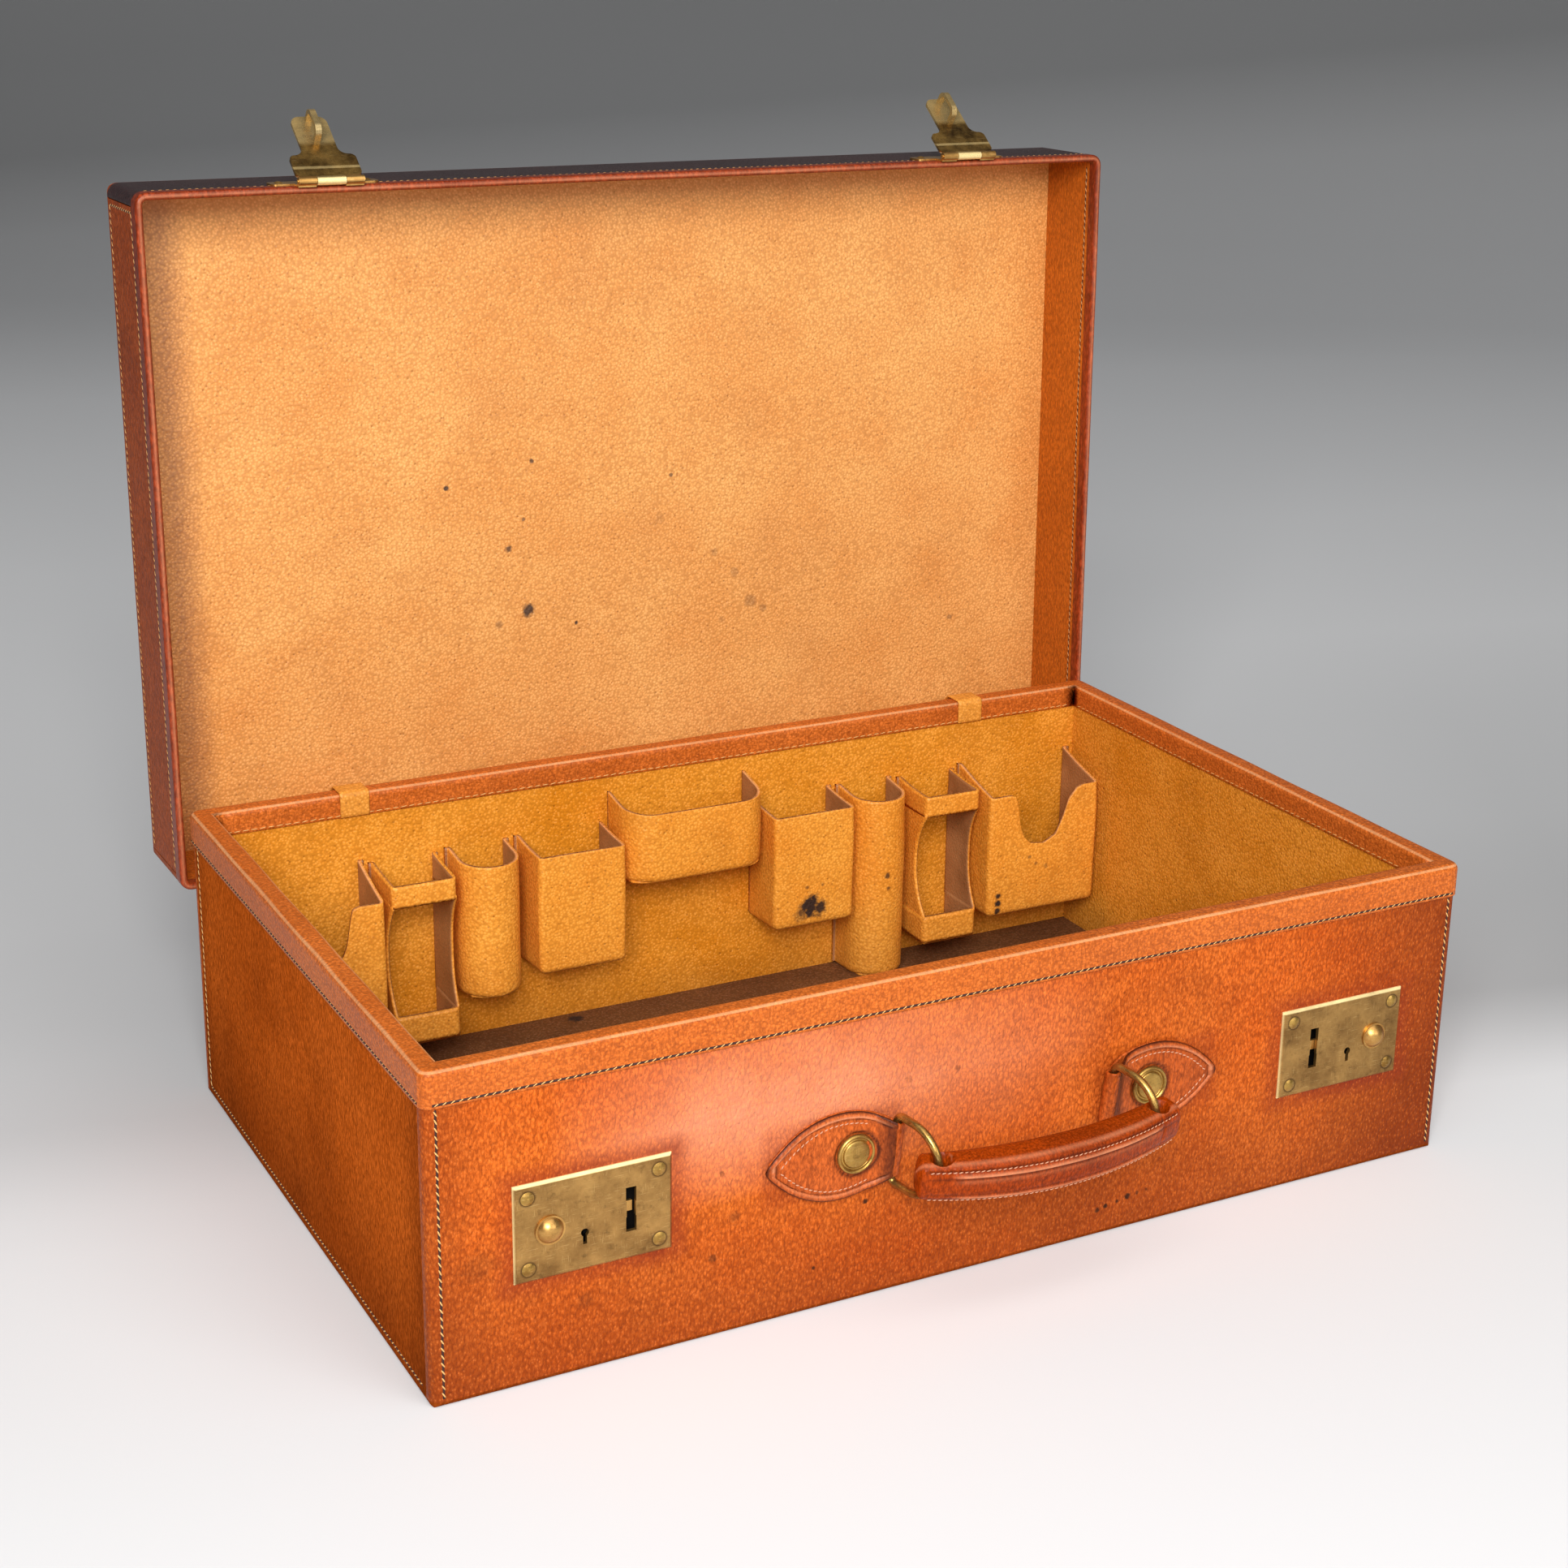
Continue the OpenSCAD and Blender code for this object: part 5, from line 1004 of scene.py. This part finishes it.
# A tab's leather: top layer from the tip, round the ring's bar, and back underneath
def tabPiece(s, word):
    t = 1.4
    r = 2.3 + t / 2 + 0.1
    cy = -grip["foldOut"]
    turnRound = [(r * math.cos(a), cy + r * math.sin(a)) for a in np.radians(np.linspace(-62, -248, 24))]
    topPath = filletPath([(grip["tip"] - 0.9, -t * 1.5), (12.0, -t * 1.5), turnRound[0]], [0, 16, 0], 70)
    lowPath = filletPath([turnRound[-1], (3.5, -t * 0.62), (grip["tip"] - 3, -t * 0.55)], [0, 4, 0], 40)
    # local x runs from the fold to the tip, so the turn goes round the side away from the tip
    path = np.concatenate([topPath[:-1], np.array(turnRound), lowPath[1:]])
    nv = 45
    v = np.sin(np.linspace(-1, 1, nv) * math.pi / 2)
    far = path[:, :1]
    half = np.maximum(np.where(far > 0, tabHalf(far), 14.6) - 0.6, 0.3)
    z = half * v
    lean = clip01(1 - far / 9.0) * math.tan(math.radians(grip["droop"]))
    grid = points(grip["shift"] + s * (grip["pitch"] / 2 + far),
                  np.minimum(-hd + path[:, 1:] - z * lean, -hd - t * 0.5), grip["z"] + z)
    top = (np.arange(len(path)) < len(topPath))[:, None]
    # free is the distance to the outline
    free = np.minimum(half - np.abs(z), (grip["tip"] - 1.5 - far) * 0.75)
    crown = 0.5 * clip01(free / 9.0) ** 0.5
    line = hump(free, 2.8, 0.5) * 0.5 * (far > 3)
    pad = 0.55 * hump(free, 1.3, 0.9)
    dent = 0.5 * hump(far, 7.0, 2.2) * np.cos(np.clip(v, -1, 1) * math.pi / 2)
    # pressed flat under the stud's dish, and swollen a little round it
    studX = (grip["studSpan"] - grip["pitch"]) / 2 + s * (grip["studShift"] - grip["shift"])
    fromStud = np.hypot(far - studX, z)
    press = clip01((12.2 - fromStud) / 1.6)
    swell = 0.3 * hump(fromStud, 13.4, 1.6)
    lifted = crown - line + pad - dent + swell + wander(grid, 9, 1 + s) * 0.10
    grid[..., 1] -= (lifted * (1 - press) - 0.1 * press) * top
    # painted shade in the crease inside the outline, round the stud's dish and on the outline's sloping edge, and
    # darker towards the fold; painted highlight with wear on the raised bead, stronger on its upper half
    crease = (hump(free, 3.1, 0.5) * 0.8 * (far > 3) + hump(fromStud, 11.2, 0.8) + clip01(1 - free / 0.9)
              + np.clip((9 - far) / 7, 0, 0.75)) * top
    ridge = hump(free, 1.9, 0.5) * (far > 3) * top * np.where(z > 0, 0.9, 0.35)
    order = slice(None) if s < 0 else slice(None, None, -1)
    verts, faces = thick(grid[order], t, 0.45)
    build("tab" + word, verts, faces, "base", tabHide, ("tab_" + word.lower(),),
          carries={"crease": spread(clip01(crease)[order]), "ridge": spread(clip01(ridge)[order])})
    # stitches follow the outline at a margin inside it
    margin = 5.4
    x = np.linspace(8.0, 62.0, 110)
    h = tabHalf(x)
    slope = np.gradient(h, x)
    size = np.sqrt(1 + slope ** 2)
    px, pz = x + slope / size * margin, h - margin / size
    keep = (pz > 0.0) & (px > 7.5) & (px < grip["tip"] - 6.5)
    runs = []
    for j in (-1, 1):
        line = points(grip["shift"] + s * (grip["pitch"] / 2 + px[keep]), -hd - t * 2.0 - 0.46,
                      grip["z"] + j * pz[keep])
        runs.append((line, (0, -1, 0)))
    stitchRuns("tabStitches" + word, runs, "base", paint=threadPink, pitch=2.6, size=(2.1, 0.62, 0.5), lift=0.14,
               slant=0.2)


for s, word in sides:
    tabPiece(s, word)
studProfile = [(0.4, 1.75), (4.0, 1.7), (6.0, 1.5), (6.6, 1.25), (6.9, 0.7), (7.1, 0.3), (7.5, 0.2), (7.9, 0.3),
               (8.1, 0.8), (8.4, 1.35), (8.9, 1.7), (9.3, 1.6), (9.7, 1.2), (9.95, 0.6), (10.0, 0.0), (9.6, -0.1),
               (2.0, -0.1), (1.8, -2.7), (0.4, -2.8)]
verts, faces = [], []
for s in (-1, 1):
    v, f = turned(filletPath(studProfile, 0, 90), grip["studShift"] + s * grip["studSpan"] / 2, -hd - 2.8, grip["z"])
    faces += counted(f, len(verts))
    verts += v.tolist()
build("tabStuds", verts, faces, "base", studBrass, ("tab_studs",))


# Handle: a rounded section swept along the curve, thickest in the middle, with ridges and creases on
# its front and soft ends: across = half thickness * sign(cos a) |cos a|^0.66, up = half height *
# sign(sin a) |sin a|^0.58, and its top slopes down to a narrower front
def gripBody():
    n, k = 220, 88
    tipAngle = arc + grip["end"] / grip["bend"]
    ang = np.sin(np.linspace(-1, 1, n) * math.pi / 2) * 0.35 * tipAngle + np.linspace(-1, 1, n) * 0.65 * tipAngle
    a = np.linspace(0, 2 * math.pi, k, endpoint=False)
    ca, sa = np.cos(a), np.sin(a)
    across = np.sign(ca) * np.abs(ca) ** 0.66
    upward = np.sign(sa) * np.abs(sa) ** 0.58
    far = (tipAngle - np.abs(ang)) * grip["bend"]
    middle = 1 - (ang / tipAngle) ** 2
    endShape = np.clip(1 - (1 - clip01(far / 3.6)) ** 2, 0.012, 1) ** 0.5
    halfT = (grip["t"] + (grip["bellyT"] - grip["t"]) * middle) / 2 * endShape
    halfH = (grip["h"] + (grip["bellyH"] - grip["h"]) * middle) / 2 * (0.3 + 0.7 * endShape)
    far, halfT, halfH = far[:, None], halfT[:, None], halfH[:, None]
    rise = halfH * upward * (1 - 0.07 * across * clip01(upward))
    radial = grip["bend"] + halfT * across
    frontness = clip01(across) ** 2
    inside, start = clip01((far - 15) / 7), clip01((far - 3) / 4)
    # painted highlight with wear on the front's raised ridges, painted shade in its grooves
    ridge, crease = np.zeros((n, k)), np.zeros((n, k))
    for z0, high, wide in ((5.0, 1.2, 0.7), (1.6, 0.5, 0.9), (-7.4, 1.1, 0.6)):
        line = hump(rise, z0 * halfH / 11, wide) * frontness * inside
        radial += high * line
        ridge += line * high * 0.75
    for z0, deep, wide in ((7.4, 0.6, 0.6), (3.3, 0.4, 0.5), (-9.2, 0.4, 0.5), (-5.8, 0.3, 0.5)):
        line = hump(rise, z0 * halfH / 11, wide) * frontness * start
        radial -= deep * line
        crease += line * deep * 1.4
    # painted highlight with wear along the upper front edge, painted shade along the lower front edge; the ends are
    # rubbed
    ridge += hump(rise, 0.94 * halfH, 0.7) * clip01((across - 0.35) / 0.4) * 0.8
    crease += hump(rise, -0.97 * halfH, 0.8) * clip01(across) * 0.7
    radial -= 0.45 * hump(far, 15.5, 1.1) * frontness
    ang = ang[:, None]
    grid = hung(points(gripX + radial * np.sin(ang), gripMidY - radial * np.cos(ang), grip["z"] + rise))
    grid[..., 2] += wander(grid, 19, 2) * 0.22
    grid[..., 1] += wander(grid, 15, 4) * 0.18
    wearAndLightAt = {"ridge": clip01(ridge).ravel(), "crease": clip01(crease).ravel()}
    return grid.reshape(-1, 3), tubeFaces(n, k), tipAngle, wearAndLightAt


# Channel for a ring: radius = half - sqrt((half - wire)^2 - z^2), turned about the ring's far end
def channel(cx):
    half, hole = 18.6, 18.6 - 2.0 - 0.35
    z = np.linspace(-13.5, 13.5, 35)
    r = half - np.sqrt(np.maximum(hole ** 2 - z ** 2, 0.1))
    a = np.linspace(0, 2 * math.pi, 40, endpoint=False)
    grid = points(cx + r[:, None] * np.cos(a), gripY + r[:, None] * np.sin(a), grip["z"] + z[:, None])
    return hung(grid.reshape(-1, 3)), tubeFaces(len(z), len(a))


verts, faces, tipAngle, wearAndPaintedLight = gripBody()
handle = build("handleGrip", verts, faces, None, gripHide, ("handle_leather", "handle_core"),
               carries=wearAndPaintedLight)
for s in (-1, 1):
    cv, cf = channel(gripX + s * grip["pitch"] / 2)
    tool = build("channelTool", cv, cf, None, gripHide)
    cut = handle.modifiers.new("cut", "BOOLEAN")
    cut.operation, cut.solver, cut.object = "DIFFERENCE", "EXACT", tool
    with bpy.context.temp_override(object=handle, active_object=handle):
        bpy.ops.object.modifier_apply(modifier="cut")
    bpy.data.objects.remove(tool)
handle.data.polygons.foreach_set("use_smooth", [True] * len(handle.data.polygons))
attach(handle, "handle")
ang = np.linspace(-tipAngle + 5 / grip["bend"], tipAngle - 5 / grip["bend"], 120)
middle = 1 - (ang / tipAngle) ** 2
halfT = (grip["t"] + (grip["bellyT"] - grip["t"]) * middle) / 2
runs = []
for z0 in (7.4, -9.1):
    rr = grip["bend"] + halfT * (0.93 if z0 > 0 else 0.9) - 0.25
    z = z0 * (1 - 0.12 * (1 - middle))
    line = points(gripX + rr * np.sin(ang), gripMidY - rr * np.cos(ang), grip["z"] + z)
    runs.append((hung(line), turnedX(points(np.sin(ang), -np.cos(ang), 0.3 * np.sign(z)), grip["droop"])))
stitchRuns("gripStitches", runs, "handle", paint=threadPink, pitch=2.6, size=(2.0, 0.55, 0.45), lift=0.16, slant=0.2)
print("handle made")

# floor, backdrop and light
# the floor bends up into a wall far behind; its paint darkens with the distance from the lens as a painted fall-off of
# the light, and dips in a painted shadow just behind the case
floorPaint = Paint("floorPaint")
ahead = np.array([-back[0], -back[1]]) / math.hypot(back[0], back[1])
leanX, leanY = float(ahead[0] - 0.28 * ahead[1]), float(ahead[1] + 0.28 * ahead[0])
away = floorPaint.x * leanX + floorPaint.y * leanY + floorPaint.z * 1.6 + floorPaint.noise(1.4, 2, 0.5) * 0.01
far = away.ramp(-0.4, 4.4)
ramp = floorPaint.add("ShaderNodeValToRGB")
join(floorPaint.tree, far, ramp.inputs[0])
stops = [(0.0, 0.75), (0.045, 0.75), (0.07, 0.76), (0.08, 0.74), (0.1, 0.61), (0.13, 0.64), (0.16, 0.71), (0.21, 0.74),
         (0.27, 0.81), (0.35, 0.89), (0.46, 0.91), (0.53, 0.90), (0.8, 0.57), (0.9, 0.36), (1.0, 0.34)]
for at, tone in stops:
    e = ramp.color_ramp.elements.new(at) if 0 < at < 1 else ramp.color_ramp.elements[0 if at == 0 else -1]
    e.position = at
    e.color = (tone, tone, tone, 1)
# painted shadow of the case: the dip behind the case is deeper on the right
rightSide = (floorPaint.x * float(-ahead[1]) + floorPaint.y * float(ahead[0])) * -1.0
caseShadow = rightSide.ramp(0.0, 0.5) * far.ramp(0.075, 0.1) * far.ramp(0.1, 0.26, 1.0, 0.0) * 0.75
floorTone = floorPaint.mix(caseShadow, Sock(floorPaint.tree, ramp.outputs[0]), (0.36, 0.36, 0.36))
profile = filletPath([(-5.0, 0.0), (4.2, 0.0), (4.2, 4.0)], [0, 1.5, 0], 60)
side = np.array([ahead[1], -ahead[0]])
across = np.linspace(-6, 6, 5)
run, rise = profile.T[..., None]
grid = points(run * ahead[0] + across * side[0], run * ahead[1] + across * side[1], rise)
me = bpy.data.meshes.new("ground")
me.from_pydata(grid.reshape(-1, 3).tolist(), [], gridFaces(60, 5))
me.polygons.foreach_set("use_smooth", [True] * len(me.polygons))
ground = bpy.data.objects.new("ground", me)
bpy.context.scene.collection.objects.link(ground)
me.materials.append(floorPaint.done(Base_Color=floorTone, Roughness=0.75))

world = bpy.data.worlds.new("world")
bpy.context.scene.world = world
world.use_nodes = True
sky = world.node_tree.nodes["Background"]
sky.inputs[0].default_value = (0.94, 0.96, 1.0, 1)
sky.inputs[1].default_value = 0.16


# Area lamp that looks from a place at a target, in metres
def lamp(name, where, target, size, power):
    data = bpy.data.lights.new(name, "AREA")
    data.shape = "RECTANGLE"
    data.size, data.size_y = size
    data.energy = power
    z = unit(np.subtract(where, target))
    x = unit(np.cross((0, 0, 1), z))
    placed(name, data, (x, np.cross(z, x), z), where)


lamp("keyLamp", (-1.15, -2.0, 1.45), (0, 0, 0.2), (1.2, 1.0), 76)
lamp("fillLamp", (0.7, -2.2, 1.0), (0, 0, 0.2), (1.4, 1.2), 12)
lamp("overLamp", (-0.1, -1.2, 2.2), (0, 0, 0), (2.8, 1.8), 25)

bpy.context.scene.view_settings.view_transform = "Standard"
print("all made")
